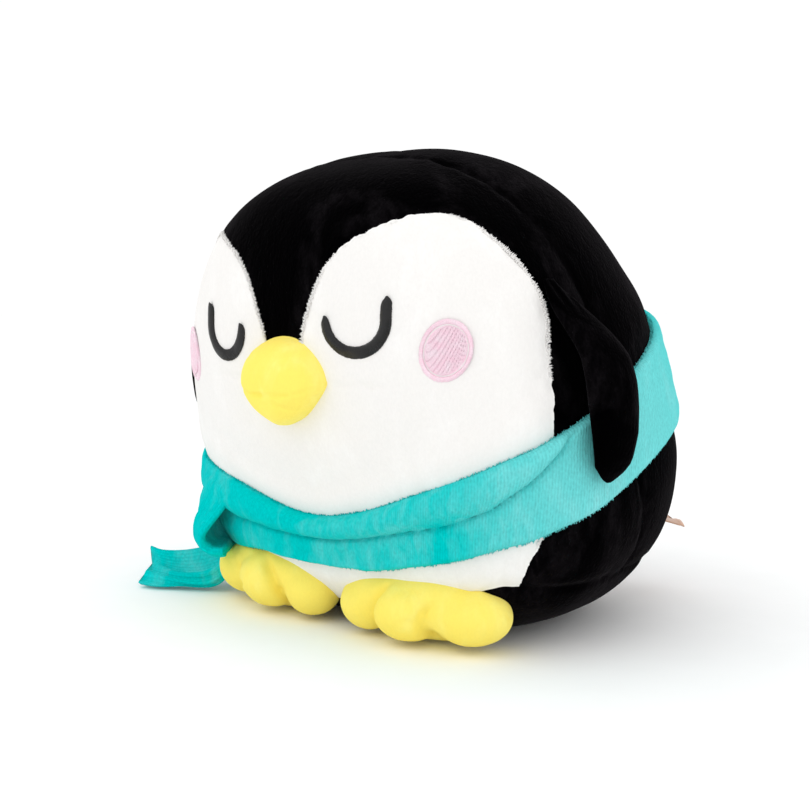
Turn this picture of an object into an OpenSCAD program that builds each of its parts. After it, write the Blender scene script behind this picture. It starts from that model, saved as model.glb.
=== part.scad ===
// Round cushion penguin with closed eyes, a scarf round the neck, soft feet and two flippers.
// The toy faces -Y, its left side is +X, and it sits on the floor plane z = 0. Millimetres.
// Every fabric panel, stuffed filling and sewn-on piece is a solid of its own.

/* [Body] */
// half of the body width
body_half_w = 128; // [110:1:145]
// depth of the body in front of its centre
body_front = 84; // [70:1:100]
// depth of the body behind its centre
body_back = 112; // [95:1:130]
// height of the body above its centre
body_top = 174; // [150:1:200]
// depth of the body below its centre before it settles on the floor
body_under = 80; // [70:1:95]
// height of the body centre above the floor
body_centre_z = 68.5; // [60:0.5:80]
// fore-aft position of the body centre
body_centre_y = -2; // [-15:1:15]
// forward lean of the upper body, degrees
body_lean = 19; // [0:1:25]
// squareness of the upper body, 2 is an ellipsoid
body_round_top = 2.6; // [2:0.1:3]
// squareness of the underside, 2 is an ellipsoid
body_round_under = 2.2; // [2:0.1:3]
// softness of the edge where the stuffed body flattens on the floor
settle_soft = 8; // [4:0.5:12]

/* [Fabric] */
// thickness of the plush fabric with its pile
cloth = 2.6; // [1.5:0.1:4]
// gap left at a seam between two panels
seam_gap = 0.4; // [0.2:0.1:0.8]

/* [Face] */
// half width of the dark peak between the two white lobes
peak_half_w = 15; // [8:1:20]
// height of the tip of the dark peak
peak_z = 142; // [135:1:160]
// top of the white lobes
lobe_z = 204; // [190:1:210]
// half width of the white panel
face_half_w = 119; // [105:1:121]
// half width of the white panel where it reaches the base
chin_half_w = 101; // [85:1:110]

/* [Beak] */
// half width of the beak
beak_half_w = 26.5; // [18:0.5:30]
// half height of the beak
beak_half_h = 21; // [16:0.5:26]
// height of the beak seam
beak_z = 127; // [110:1:135]
// how far the beak stands out
beak_out = 17; // [12:1:30]
// how far the beak points below level, degrees
beak_droop = 18; // [0:1:30]
// roundness of the lower half of the beak, 1 is a diamond and 2 a circle
beak_low_round = 1.35; // [1:0.05:2]

/* [Eyes and cheeks] */
// distance of each eye from the middle
eye_x = 44.5; // [36:0.5:50]
// height of the middle of the eye curve
eye_z = 157; // [140:1:165]
// half width of the eye curve
eye_half_w = 16.5; // [10:0.5:20]
// drop of the eye curve
eye_drop = 15; // [10:1:20]
// height of the outer end above the inner end
eye_tail = 10; // [0:1:15]
// width of the embroidered eye line
eye_line = 5.5; // [3:0.5:7]
// distance of each cheek from the middle
cheek_x = 87; // [75:1:95]
// height of each cheek
cheek_z = 144; // [130:1:155]
// radius of each cheek
cheek_r = 12; // [9:0.5:16]
// how much lower the right eye sits than the left one
right_eye_drop = 5; // [0:1:8]
// width of the right eye as a share of the left one
right_eye_share = 0.86; // [0.8:0.01:1]
// how much lower the right cheek sits than the left one
right_cheek_drop = 9; // [0:1:12]
// height of the embroidery above the face
stitch_h = 1.4; // [0.8:0.1:2]

/* [Scarf] */
// height of the top edge at the front
scarf_top_front = 60; // [50:1:75]
// height of the top edge at the back
scarf_top_back = 161; // [140:1:185]
// height of the bottom edge at the front
scarf_low_front = 35; // [28:1:45]
// height of the bottom edge at the back
scarf_low_back = 112; // [90:1:130]
// thickness of the scarf band
scarf_t = 6; // [4:0.5:9]
// bearing of the knot, degrees from the front towards the right side
knot_bearing = 52; // [40:1:65]
// how far the knot pulls the scarf down
knot_pull = 9; // [0:1:15]
// how far the scarf sags behind the knot
scarf_sag = 18; // [0:1:25]
// width of the knot across the scarf
knot_w = 34; // [24:1:38]
// height of the knot across the scarf, 0 at the low edge and 1 at the top edge
knot_at = 0.4; // [0:0.01:0.6]
// how far the fold of the knot lies forward of its bearing, degrees
knot_forward = 4; // [0:1:10]
// how far the knot stands out
knot_out = 13; // [8:1:26]
// width of each hanging end
tail_w = 36; // [28:1:44]
// thickness of each hanging end
tail_t = 5; // [3:0.5:7]
// length of the long end lying on the floor
tail_on_floor = 26; // [15:1:60]
// slant of the cut at the end of the long end, degrees
tail_slant = 40; // [0:1:50]
// how far the inner edge of the long end is tilted up from the floor, degrees
tail_tilt = 20; // [0:1:30]
// height at which the short end stops, measured before the body settles
short_tail_z = 16; // [8:1:30]

/* [Flippers] */
// height of the seam that holds the flipper
flipper_root_z = 176; // [155:1:185]
// height of the flipper tip
flipper_tip_z = 84; // [70:1:100]
// half width of the flipper at its widest
flipper_half_w = 20; // [15:1:28]
// thickness of the stuffed flipper
flipper_t = 13; // [8:1:18]

/* [Feet] */
// distance of each foot centre from the middle
foot_x = 48; // [40:1:55]
// fore-aft position of each foot centre
foot_y = -66; // [-72:1:-45]
// half width of a foot
foot_half_w = 43; // [34:1:48]
// length of a foot in front of its centre
foot_front_l = 20; // [18:1:34]
// length of a foot behind its centre, where it goes under the body
foot_back_l = 19.5; // [10:0.5:24]
// height of a foot
foot_h = 36; // [22:1:40]
// outward turn of each foot, degrees
foot_splay = 6; // [0:1:20]
// height of the seam round a foot
foot_seam_z = 11; // [8:1:14]
// bearing of the grooves between the toes, degrees from straight ahead
toe_angle = 33; // [25:1:45]
// depth of the notches between the toes
toe_notch = 0.17; // [0:0.01:0.25]

/* [Label] */
// length of the folded satin label
label_l = 25; // [20:1:60]
// width of the label
label_w = 24; // [16:1:32]
// thickness of the folded label
label_t = 1.2; // [0.8:0.1:2]
// bearing of the label, degrees from the front towards the left side
label_turn = 144; // [110:1:180]
// height of the label where it is sewn in
label_z = 45; // [40:1:80]
// droop of the label below level, degrees
label_droop = 14; // [0:1:45]

/* [Detail] */
// angle step of the body grid
step = 7.5; // [5:0.5:10]

/* [Hidden] */
body_centre = [0, body_centre_y, body_centre_z];
// direction heights, as sines, between which the lean fades in
lean_from = -0.75;
lean_span = 1.05;
// lift of the floor contact, so the flat patch grows
settle_sink = 3;
// angle below level of the seam round the base, at the sides and back and under the chin
base_rise = -17;
base_rise_front = -42;
// the crown seam lies this far behind the body axis
crown_back = 10;
fill_in = cloth + 1.6;
root_out = 1.4;
flipper_steps = 9;

// One name per solid.

// ---------- small helpers ----------

function mix(a, b, t) = a + (b - a) * t;
function unit(v) = v / norm(v);
function mirror_x(v) = [-v.x, v.y, v.z];
function smooth(t) = let (u = min(1, max(0, t))) u * u * (3 - 2 * u);

// value at t in 0..1 along a list of evenly spaced control values, smoothly joined
function along(list, t) =
  let (n = len(list) - 1,
       k = min(n - 1, floor(t * n)),
       u = t * n - k,
       a = list[max(0, k - 1)],
       b = list[k],
       c = list[k + 1],
       d = list[min(n, k + 2)])
  b + 0.5 * u * ((c - a) + u * (2 * a - 5 * b + 4 * c - d + u * (3 * (b - c) + d - a)));

// bearing 0 faces the front, +90 the left side; rise is the angle above level
function bearing(turn, rise) = [cos(rise) * sin(turn), -cos(rise) * cos(turn), sin(rise)];

// ---------- the body surface ----------

// direction turned into the leaning frame of the upper body
function leaning(d) =
  let (t = body_lean * smooth((d.z - lean_from) / lean_span))
  [d.x, d.y * cos(t) + d.z * sin(t), d.z * cos(t) - d.y * sin(t)];

// distance from the body centre to the surface in direction d
function reach(d) =
  let (q = leaning(d),
       depth = q.y < 0 ? body_front : body_back,
       rise = q.z > 0 ? body_top : body_under,
       n = q.z > 0 ? body_round_top : body_round_under,
       ring = pow(pow(abs(q.x) / body_half_w, body_round_top) + pow(abs(q.y) / depth, body_round_top),
                  1 / body_round_top))
  pow(pow(ring, n) + pow(abs(q.z) / rise, n), -1 / n);

// soft flattening on the floor
function settled(z) =
  max(0, settle_soft * ln(1 + exp(z / settle_soft)) - settle_sink * exp(-max(z, 0) / 20));

// point over the body in direction d, raised by grow
function skin(d, grow = 0) =
  let (p = body_centre + d * (reach(d) + grow))
  [p.x, p.y, max(grow < 0 ? -grow : 0, settled(p.z))];

// signed test: negative inside the body
function outside(p) = let (v = p - body_centre) norm(v) / reach(unit(v)) - 1;

// point of the front surface at a given x and z, found by halving
function front_y(x, z, near = 0, far = -140, n = 18) =
  n == 0 ? (near + far) / 2
         : let (m = (near + far) / 2)
           outside([x, m, z]) < 0 ? front_y(x, z, m, far, n - 1) : front_y(x, z, near, m, n - 1);
function front_dir(x, z) = unit([x, front_y(x, z), z] - body_centre);

// height of the underside of the body over a floor point
function under_z(x, y, low = -20, high = 66, n = 16) =
  n == 0 ? settled((low + high) / 2)
         : let (m = (low + high) / 2)
           outside([x, y, m]) < 0 ? under_z(x, y, low, m, n - 1) : under_z(x, y, m, high, n - 1);

// direction at a bearing whose surface point has height z
function at_height(turn, z, low = -60, high = 85, n = 16) =
  n == 0 ? bearing(turn, (low + high) / 2)
         : let (m = (low + high) / 2)
           skin(bearing(turn, m)).z < z ? at_height(turn, z, m, high, n - 1)
                                        : at_height(turn, z, low, m, n - 1);

// ---------- solids from grids ----------

// Closed solid between two grids of points of the same size.
module slab(outer, inner) {
  rows = len(outer);
  cols = len(outer[0]);
  count = rows * cols;
  points = concat([for (r = outer) each r], [for (r = inner) each r]);
  at = function (r, c) r * cols + c;
  skins = [for (r = [0:rows - 2], c = [0:cols - 2])
    each [[at(r, c), at(r, c + 1), at(r + 1, c + 1)], [at(r, c), at(r + 1, c + 1), at(r + 1, c)],
          [count + at(r, c), count + at(r + 1, c + 1), count + at(r, c + 1)],
          [count + at(r, c), count + at(r + 1, c), count + at(r + 1, c + 1)]]];
  rim = concat([for (c = [0:cols - 1]) at(0, c)],
               [for (r = [1:rows - 1]) at(r, cols - 1)],
               [for (c = [cols - 2:-1:0]) at(rows - 1, c)],
               [for (r = [rows - 2:-1:1]) at(r, 0)]);
  sides = [for (k = [0:len(rim) - 1])
    let (a = rim[k], b = rim[(k + 1) % len(rim)])
    each [[b, a, count + a], [b, count + a, count + b]]];
  polyhedron(points = points, faces = concat(skins, sides), convexity = 4);
}

// Closed solid from a disc: rings of points from the first ring outwards round a middle point.
module disc_slab(outer_mid, outer, inner_mid, inner) {
  rows = len(outer);
  cols = len(outer[0]);
  count = rows * cols;
  points = concat([for (r = outer) each r], [for (r = inner) each r], [outer_mid, inner_mid]);
  at = function (r, c) r * cols + c % cols;
  bands = [for (r = [0:rows - 2], c = [0:cols - 1])
    each [[at(r, c), at(r, c + 1), at(r + 1, c + 1)], [at(r, c), at(r + 1, c + 1), at(r + 1, c)],
          [count + at(r, c), count + at(r + 1, c + 1), count + at(r, c + 1)],
          [count + at(r, c), count + at(r + 1, c), count + at(r + 1, c + 1)]]];
  caps = [for (c = [0:cols - 1])
    each [[2 * count, at(0, c + 1), at(0, c)],
          [2 * count + 1, count + at(0, c), count + at(0, c + 1)]]];
  sides = [for (c = [0:cols - 1])
    let (a = at(rows - 1, c), b = at(rows - 1, c + 1))
    each [[a, b, count + b], [a, count + b, count + a]]];
  polyhedron(points = points, faces = concat(bands, caps, sides), convexity = 4);
}

// Closed solid from rings stacked along a path, with a middle point at each end.
module ring_stack(rings, first, last) {
  rows = len(rings);
  cols = len(rings[0]);
  points = concat([for (r = rings) each r], [first, last]);
  at = function (r, c) r * cols + c % cols;
  bands = [for (r = [0:rows - 2], c = [0:cols - 1])
    each [[at(r, c), at(r, c + 1), at(r + 1, c + 1)], [at(r, c), at(r + 1, c + 1), at(r + 1, c)]]];
  caps = [for (c = [0:cols - 1])
    each [[rows * cols, at(0, c + 1), at(0, c)],
          [rows * cols + 1, at(rows - 1, c), at(rows - 1, c + 1)]]];
  polyhedron(points = points, faces = concat(bands, caps), convexity = 4);
}

// Closed loop solid: sections round a ring, each section a closed outline.
module loop_solid(sections) {
  rows = len(sections);
  cols = len(sections[0]);
  at = function (r, c) (r % rows) * cols + c % cols;
  polyhedron(points = [for (r = sections) each r],
             faces = [for (r = [0:rows - 1], c = [0:cols - 1])
               each [[at(r, c), at(r, c + 1), at(r + 1, c + 1)],
                     [at(r, c), at(r + 1, c + 1), at(r + 1, c)]]],
             convexity = 6);
}

// Fabric laid over the body along a grid of directions.
module panel(dirs)
  slab([for (r = dirs) [for (d = r) skin(d)]], [for (r = dirs) [for (d = r) skin(d, -cloth)]]);

// ---------- curves the seams follow ----------

// right half of the face outline from the tip of the peak down to the base, in front view
face_curve = [
  [peak_half_w - 3, peak_z],
  [peak_half_w + 1, peak_z + 16],
  [peak_half_w + 14, lobe_z - 20],
  [50, lobe_z - 6],
  [75, lobe_z],
  [97, lobe_z - 15],
  [face_half_w - 7, lobe_z - 40],
  [face_half_w - 1, 132],
  [face_half_w, 105],
  [face_half_w - 1, 82],
  [face_half_w - 6, 60],
  [chin_half_w + 5, 45]
];
// the base seam dips under the chin
function base_seam(turn) = mix(base_rise_front, base_rise, smooth((abs(turn) - 30) / 31));
function base_dir(turn) = bearing(turn, base_seam(turn));
chin_turn = 62;
chin_steps = 9;
outline_steps = 22;
half_outline = concat(
  [for (k = [0:outline_steps]) let (q = along(face_curve, k / outline_steps)) front_dir(q.x, q.y)],
  [for (k = [0:chin_steps]) base_dir(mix(chin_turn, 8, k / chin_steps))]);
face_outline = concat([for (d = half_outline) mirror_x(d)],
                      [for (k = [len(half_outline) - 1:-1:0]) half_outline[k]]);
face_mid = bearing(0, 30);

// seam over the crown and down both sides; a = 0 at the crown
function crown_seam(a) =
  let (q = unit([body_half_w * sin(a), crown_back, (cos(a) > 0 ? body_top : body_under) * cos(a)]),
       t = body_lean * smooth((q.z - lean_from) / lean_span))
  unit([q.x, q.y * cos(t) - q.z * sin(t), q.z * cos(t) + q.y * sin(t)]);
// angle at which that seam meets the base seam
seam_end = 119;

function turn_of(d) = atan2(d.x, -d.y);
function rise_of(d) = asin(d.z);
// direction part of the way from one to another; level keeps to a steady rise, as a level seam does
function between(from, to, s, level) =
  unit(mix(unit(mix(from, to, s)),
           bearing(mix(turn_of(from), turn_of(to), s), mix(rise_of(from), rise_of(to), s)), level));

// ---------- body ----------

module face_panel() color([0.97, 0.97, 0.95]) {
  rings = [0.17, 0.33, 0.5, 0.66, 0.8, 0.91, 0.995];
  grid = [for (r = rings) [for (d = face_outline) unit(mix(face_mid, d, r))]];
  disc_slab(skin(face_mid), [for (r = grid) [for (d = r) skin(d)]],
            skin(face_mid, -cloth), [for (r = grid) [for (d = r) skin(d, -cloth)]]);
}

// directions across the hood, from the face outline to the crown seam
hood_rows = outline_steps + 1;
function hood_row(k) =
  let (n = abs(k),
       from = half_outline[n],
       to = crown_seam(seam_end * n / hood_rows),
       row = [for (s = [0.025, 0.14, 0.27, 0.41, 0.56, 0.7, 0.85, 0.985])
         between(from, to, s, smooth(n / hood_rows * 4 - 3))])
  k < 0 ? [for (d = row) mirror_x(d)] : row;

module hood_panel() color([0.04, 0.035, 0.04])
  panel([for (k = [-hood_rows:hood_rows]) hood_row(k)]);

// directions across the left back panel, from the crown seam to the seam down the middle of the back
function back_row(t) =
  let (from = crown_seam(seam_end * t),
       tip = mix(-12, 90 - base_rise, t),
       to = [0.0001, sin(tip), cos(tip)])
  [for (s = [0.012, 0.1, 0.2, 0.3, 0.4, 0.5, 0.6, 0.7, 0.8, 0.9, 0.992])
    between(from, to, s, smooth(2 * t - 1))];

module back_panel(side) {
  steps = 18;
  rows = [for (k = [0:steps]) back_row((k + 0.35) / (steps + 0.47))];
  if (side > 0) panel(rows);
  else panel([for (r = rows) [for (c = [len(r) - 1:-1:0]) mirror_x(r[c])]]);
}

module back_panel_left() color([0.04, 0.035, 0.04]) back_panel(1);

module back_panel_right() color([0.04, 0.035, 0.04]) back_panel(-1);

module base_panel() color([0.04, 0.035, 0.04]) {
  turns = [for (a = [180:-step:-179.9]) a];
  dirs = [for (k = [0:6]) [for (a = turns) bearing(a, mix(-80, base_seam(a) - 1.3, k / 6))]];
  disc_slab(skin([0, 0, -1]), [for (r = dirs) [for (d = r) skin(d)]],
            skin([0, 0, -1], -cloth), [for (r = dirs) [for (d = r) skin(d, -cloth)]]);
}

module body_filling() color([0.93, 0.93, 0.92]) {
  turns = [for (a = [0:step:359.9]) -a];
  rises = [for (r = [-84:6:84]) r];
  ring_stack([for (r = rises) [for (a = turns) skin(bearing(a, r), -fill_in)]],
             skin([0, 0, -1], -fill_in), skin([0, 0, 1], -fill_in));
}

// ---------- face details ----------

// direction of the body under the beak: r from 0 in the middle to 1 at the rim, a round it
function beak_dir(r, a, shrink) =
  let (n = sin(a) < 0 ? beak_low_round : 2,
       rim = pow(pow(abs(cos(a)), n) + pow(abs(sin(a)), n), -1 / n))
  front_dir((beak_half_w - shrink) * r * rim * cos(a), beak_z + (beak_half_h - shrink) * r * rim * sin(a));

// point of the beak over that place
function beak_point(r, a, shrink) =
  skin(beak_dir(r, a, shrink), 0.5)
  + [0, -cos(beak_droop), -sin(beak_droop)] * (beak_out - shrink) * pow(1 - pow(r, 2.9), 0.57);

module beak_half(from, to) {
  angles = [for (k = [0:12]) mix(from, to, k / 12)];
  rings = [0.03, 0.25, 0.45, 0.62, 0.76, 0.87, 0.95, 0.995];
  slab([for (r = rings) [for (a = angles) beak_point(r, a, 0)]],
       [for (r = rings) [for (a = angles) beak_point(r * 0.999, a, 2.2)]]);
}

module beak_upper_panel() color([1, 0.92, 0.42]) beak_half(1.4, 178.6);

module beak_lower_panel() color([1, 0.92, 0.42]) beak_half(181.4, 358.6);

module beak_filling() color([0.93, 0.93, 0.92]) {
  rings = [0.2, 0.45, 0.65, 0.82, 0.93, 0.985];
  turns = [for (a = [0:15:359]) a];
  outer = [for (r = rings) [for (a = turns) beak_point(r, a, 2.7)]];
  base = [for (r = rings) [for (a = turns) skin(beak_dir(r, a, 2.7), 0.35)]];
  disc_slab(beak_point(0.001, 0, 2.7), outer, skin(front_dir(0, beak_z), 0.35), base);
}

// middle line of an eye stroke; t from the inner end to the outer end
function eye_path(t) =
  let (a = mix(-92, 90, min(1, t / 0.78)),
       up = max(0, (t - 0.78) / 0.22))
  [eye_x + eye_half_w * sin(a), eye_z - eye_drop * cos(a) + eye_tail * up];

function eye_frame(t) =
  let (a = eye_path(max(0, t - 0.01)), b = eye_path(min(1, t + 0.01)))
  unit([a.y - b.y, b.x - a.x]);

module eye(side) {
  steps = 20;
  dirs = [for (k = [0:steps])
    let (t = k / steps, m = eye_path(t), n = eye_frame(t),
         w = eye_line / 2 * sqrt(max(0.12, 1 - pow(abs(2 * t - 1), 14))))
    [for (s = [-1, 0, 1])
      let (q = m + n * w * s, share = side < 0 ? right_eye_share : 1)
      front_dir(side * mix(eye_x, q.x, share), q.y - (side < 0 ? right_eye_drop : 0))]];
  rows = side > 0 ? dirs : [for (r = dirs) [r[2], r[1], r[0]]];
  slab([for (r = rows) [skin(r[0], 0.7), skin(r[1], stitch_h + 0.3), skin(r[2], 0.7)]],
       [for (r = rows) [for (d = r) skin(d, 0.25)]]);
}

module left_eye_embroidery() color([0.15, 0.14, 0.15]) eye(1);

module right_eye_embroidery() color([0.15, 0.14, 0.15]) eye(-1);

module cheek(side) {
  turns = [for (a = [0:15:359]) a];
  rings = [0.5, 0.85, 1];
  at = function (r, a, g)
    let (q = front_dir(side * cheek_x, cheek_z - (side < 0 ? right_cheek_drop : 0)),
         along_x = unit(cross([0, 0, 1], q)),
         along_z = cross(q, along_x))
    skin(unit(q + (along_x * cos(a) + along_z * sin(a)) * r * cheek_r / reach(q)), g);
  disc_slab(at(0, 0, stitch_h), [for (r = rings) [for (a = turns) at(r, a, r > 0.9 ? 0.8 : stitch_h)]],
            at(0, 0, 0.25), [for (r = rings) [for (a = turns) at(r, a, 0.25)]]);
}

module left_cheek_patch() color([0.98, 0.8, 0.86]) cheek(1);

module right_cheek_patch() color([0.98, 0.8, 0.86]) cheek(-1);

// ---------- scarf ----------

// how far round from the front the scarf has climbed, 0 at the front and 1 across the back
function climb(turn, power) = pow(smooth(abs(turn) / 140), power);
// the knot pulls the scarf down beside it
function pull(turn) = knot_pull * exp(-pow((turn + knot_bearing) / 17, 2));
function sag(turn) = scarf_sag * exp(-pow((turn + knot_bearing + 28) / 30, 2));
function scarf_top(turn) =
  mix(scarf_top_front, scarf_top_back, climb(turn, 1.05)) - pull(turn) * 0.2 - sag(turn) * 1.5;
function scarf_low(turn) =
  mix(scarf_low_front, scarf_low_back, climb(turn, 1.45)) - pull(turn) - sag(turn);

// point of the scarf: s from the low edge to the top edge, lift above the body
function scarf_point(turn, s, lift) =
  skin(at_height(turn, mix(scarf_low(turn), scarf_top(turn), s)), lift);

// clearance under the scarf
scarf_clear = 1.3;
// closed outline of the band at one bearing, inner side first
function scarf_section(turn) = concat(
  [for (s = [0, 0.33, 0.67, 1]) scarf_point(turn, s, scarf_clear)],
  [for (q = [[0.97, 0.75], [0.72, 1.1], [0.5, 0.85], [0.25, 1], [0.02, 0.7]])
    scarf_point(turn, q[0], scarf_clear + scarf_t * q[1])]);

module scarf_band() color([0.05, 0.76, 0.76])
  loop_solid([for (a = [180:-step:-179.9]) scarf_section(a)]);

knot_mid = scarf_point(-knot_bearing, knot_at, 0);

// point of the knot: r from the middle to the rim, a round it
function knot_point(r, a, lift) =
  let (turn = -knot_bearing + knot_forward + 0.5 * knot_w * r * cos(a) / 2.1,
       s = knot_at + 0.4 * r * sin(a))
  scarf_point(turn, s, lift);

module scarf_knot() color([0.05, 0.76, 0.76]) {
  turns = [for (a = [0:20:359]) a];
  rings = [0.3, 0.55, 0.75, 0.9, 1];
  base = scarf_t * 1.1 + scarf_clear + 0.5;
  disc_slab(knot_point(0, 0, base + knot_out),
            [for (r = rings) [for (a = turns)
              knot_point(r, a, base + 3 + (knot_out - 3) * sqrt(max(0, 1 - pow(r, 2.2))))]],
            knot_point(0, 0, base), [for (r = rings) [for (a = turns) knot_point(r, a, base)]]);
}

// Flat strip swept along a path; at each point it is wide along that point's side direction.
module strip(path, width, side_dirs) {
  n = len(path);
  normal = [for (k = [0:n - 1])
    unit(cross(path[min(n - 1, k + 1)] - path[max(0, k - 1)], side_dirs[k]))];
  across = [-0.5, -0.25, 0, 0.25, 0.5];
  side = function (k, w, share) path[k] + side_dirs[k] * w * width[k] + normal[k] * tail_t * share;
  slab([for (k = [0:n - 1]) [for (w = across) side(k, w, 0.5)]],
       [for (k = [0:n - 1]) [for (w = across) side(k, w, -0.5)]]);
}

// place under the knot from which the long end hangs
tail_top = [knot_mid.x - 17, knot_mid.y - 3, knot_mid.z - 22];

module scarf_tail_long() color([0.05, 0.76, 0.76]) {
  floor_z = tail_t / 2 + 0.1;
  bend = [tail_top.x - 8, tail_top.y, floor_z];
  drop = [for (k = [0:4])
    [tail_top.x - 8 * pow(k / 5, 2), tail_top.y, mix(tail_top.z, floor_z + 12, k / 4)]];
  turn = [for (a = [20:20:90]) bend + [-9 + 9 * cos(a), 0, 12 - 12 * sin(a)]];
  lie = [for (k = [1:5]) bend + [-9 - tail_on_floor * k / 5, -1.6 * k, 0]];
  flat_path = concat(drop, turn, lie);
  last = len(flat_path) - 1;
  widths = [for (k = [0:last]) mix(tail_w * 0.55, tail_w, smooth(k / 6))];
  tilts = [for (k = [0:last]) tail_tilt * smooth((k - 2) / 5)];
  // the end is cut aslant, so its back corner reaches further than its front corner
  slants = [for (k = [0:last]) tail_slant * smooth((k - 6) / (last - 6))];
  sides = [for (k = [0:last])
    [-sin(slants[k]) * cos(tilts[k]), cos(slants[k]) * cos(tilts[k]), sin(tilts[k])]];
  path = [for (k = [0:last]) flat_path[k] + [0, 0, widths[k] * sin(tilts[k]) / 2]];
  strip(path, widths, sides);
}

module scarf_tail_short() color([0.05, 0.76, 0.76]) {
  rows = [for (k = [0:7])
    let (t = k / 7,
         turn = mix(-knot_bearing - 27, -knot_bearing - 33, t),
         z = mix(scarf_low(turn) - 6, short_tail_z, t),
         half = tail_w * mix(0.2, 0.29, t),
         lift = 2.5 + 15 * t * t)
    [for (w = [-1, -0.5, 0, 0.5, 1])
      let (d = at_height(turn + w * half / 2, z)) [skin(d, lift), skin(d, lift + tail_t)]]];
  slab([for (r = rows) [for (p = r) p[1]]], [for (r = rows) [for (p = r) p[0]]]);
}

// ---------- flippers ----------

// middle line of the left flipper on the body, t from the seam to the tip
function flipper_y(t) = -45 + 14 * t * t;
function flipper_z(t) = mix(flipper_root_z, flipper_tip_z, t);
function flipper_width(t) =
  flipper_half_w * along([0.42, 0.66, 0.86, 0.98, 1, 0.93, 0.76, 0.5, 0.12], t);
// gap between the body and the inner side of the flipper
function flipper_gap(t) = root_out + 9 * smooth(t * 1.9);
function flipper_fat(t) = flipper_t * along([0.3, 0.7, 0.92, 1, 1, 0.95, 0.85, 0.6, 0.14], t);

// x of the body side at a given y and z, found by halving
function side_x(y, z, near = 0, far = 150, n = 16) =
  n == 0 ? (near + far) / 2
         : let (m = (near + far) / 2)
           outside([m, y, z]) < 0 ? side_x(y, z, m, far, n - 1) : side_x(y, z, near, m, n - 1);

// middle of the flipper at t, kept outside the body and the scarf
function flipper_mid(t) =
  let (y = flipper_y(t), z = flipper_z(t))
  [side_x(y, z) + flipper_gap(t) + flipper_fat(t) / 2, y, z];

// point of one half: u across from -1 to 1, v 1 for the outer half, -1 for the inner, 0 between
function flipper_point(t, u, v, shrink) =
  let (w = max(0.3, flipper_width(t) - shrink),
       h = max(0.15, flipper_fat(t) / 2 - shrink),
       y = flipper_y(t) + w * u,
       z = flipper_z(t))
  [side_x(y, z) + flipper_gap(t) + flipper_fat(t) / 2 + h * v * sqrt(max(0, 1 - u * u)), y, z];

module flipper_half(side, v) {
  lines = [for (k = [0:flipper_steps]) mix(0.01, 0.99, k / flipper_steps)];
  across = [-1, -0.85, -0.55, 0, 0.55, 0.85, 1];
  rows = [for (t = lines) [for (u = across) flipper_point(t, u, v, 0) + [v * seam_gap / 2, 0, 0]]];
  under = [for (t = lines) [for (u = across)
    flipper_point(t, u * 0.98, v, 1.7) + [v * seam_gap / 2, 0, 0]]];
  outer = [for (r = rows) [for (p = r) side > 0 ? p : mirror_x(p)]];
  inner = [for (r = under) [for (p = r) side > 0 ? p : mirror_x(p)]];
  if (side * v > 0) slab(outer, inner);
  else slab(inner, outer);
}

module flipper_filling(side) {
  lines = [for (k = [0:flipper_steps]) mix(0.05, 0.93, k / flipper_steps)];
  rings = [for (t = lines) [for (a = [0:36:359])
    let (p = flipper_point(t, 0.93 * cos(a), 0, 2.1),
         h = max(0.3, flipper_fat(t) / 2 - 2.1))
    [side * (p.x + h * sin(a)), p.y, p.z]]];
  first = flipper_mid(0.05);
  last = flipper_mid(0.93);
  ends = [[side * first.x, first.y, first.z], [side * last.x, last.y, last.z]];
  turned = side < 0 ? rings : [for (r = rings) [for (k = [len(r) - 1:-1:0]) r[k]]];
  ring_stack(turned, ends[0], ends[1]);
}

module left_flipper_outer_panel() color([0.03, 0.03, 0.035]) flipper_half(1, 1);

module left_flipper_inner_panel() color([0.03, 0.03, 0.035]) flipper_half(1, -1);

module left_flipper_filling() color([0.93, 0.93, 0.92]) flipper_filling(1);

module right_flipper_outer_panel() color([0.03, 0.03, 0.035]) flipper_half(-1, 1);

module right_flipper_inner_panel() color([0.03, 0.03, 0.035]) flipper_half(-1, -1);

module right_flipper_filling() color([0.93, 0.93, 0.92]) flipper_filling(-1);

// ---------- feet ----------

// 1 in the grooves between the toes, 0 elsewhere; a = 0 points forward
function groove(a) = let (b = abs(a > 180 ? a - 360 : a)) exp(-pow((b - toe_angle) / 9, 2));

// outline radius of a foot
function foot_radius(a) =
  let (l = cos(a) > 0 ? foot_front_l : foot_back_l)
  (1 - toe_notch * groove(a)) / sqrt(pow(sin(a) / foot_half_w, 2) + pow(cos(a) / l, 2));

// floor point of the left foot at r of the outline
function foot_floor(r, a) =
  let (q = foot_radius(a) * r,
       x = q * sin(a),
       y = -q * cos(a))
  [foot_x + x * cos(foot_splay) - y * sin(foot_splay), foot_y + x * sin(foot_splay) + y * cos(foot_splay)];

foot_rings = [0.25, 0.5, 0.7, 0.84, 0.94, 1];
foot_turns = [for (a = [0:10:359]) a];
// least thickness of a foot at its rim, and its gap under the body
foot_rim = 1.6;
foot_clear = 3;

// lower and upper surface of a foot at one place, kept under the body and flat on the floor
function foot_span(r, a) =
  let (q = foot_floor(r, a),
       roof = under_z(q.x, q.y) - foot_clear,
       seam = max(0.5, min(foot_seam_z, roof / 2)),
       low = seam * (1 - pow(1 - pow(r, 5), 0.5)) * 0.95,
       dome = seam + (foot_h - foot_seam_z) * pow(1 - pow(r, 2.6), 0.55) * (1 - 0.3 * r * groove(a)))
  [q, low, max(low + foot_rim, min(dome, roof))];

// point of a foot; share 0 on the floor side, 1 on the upper side
function foot_point(r, a, share) =
  let (f = foot_span(r, a)) [f[0].x, f[0].y, mix(f[1], f[2], share)];

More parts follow.
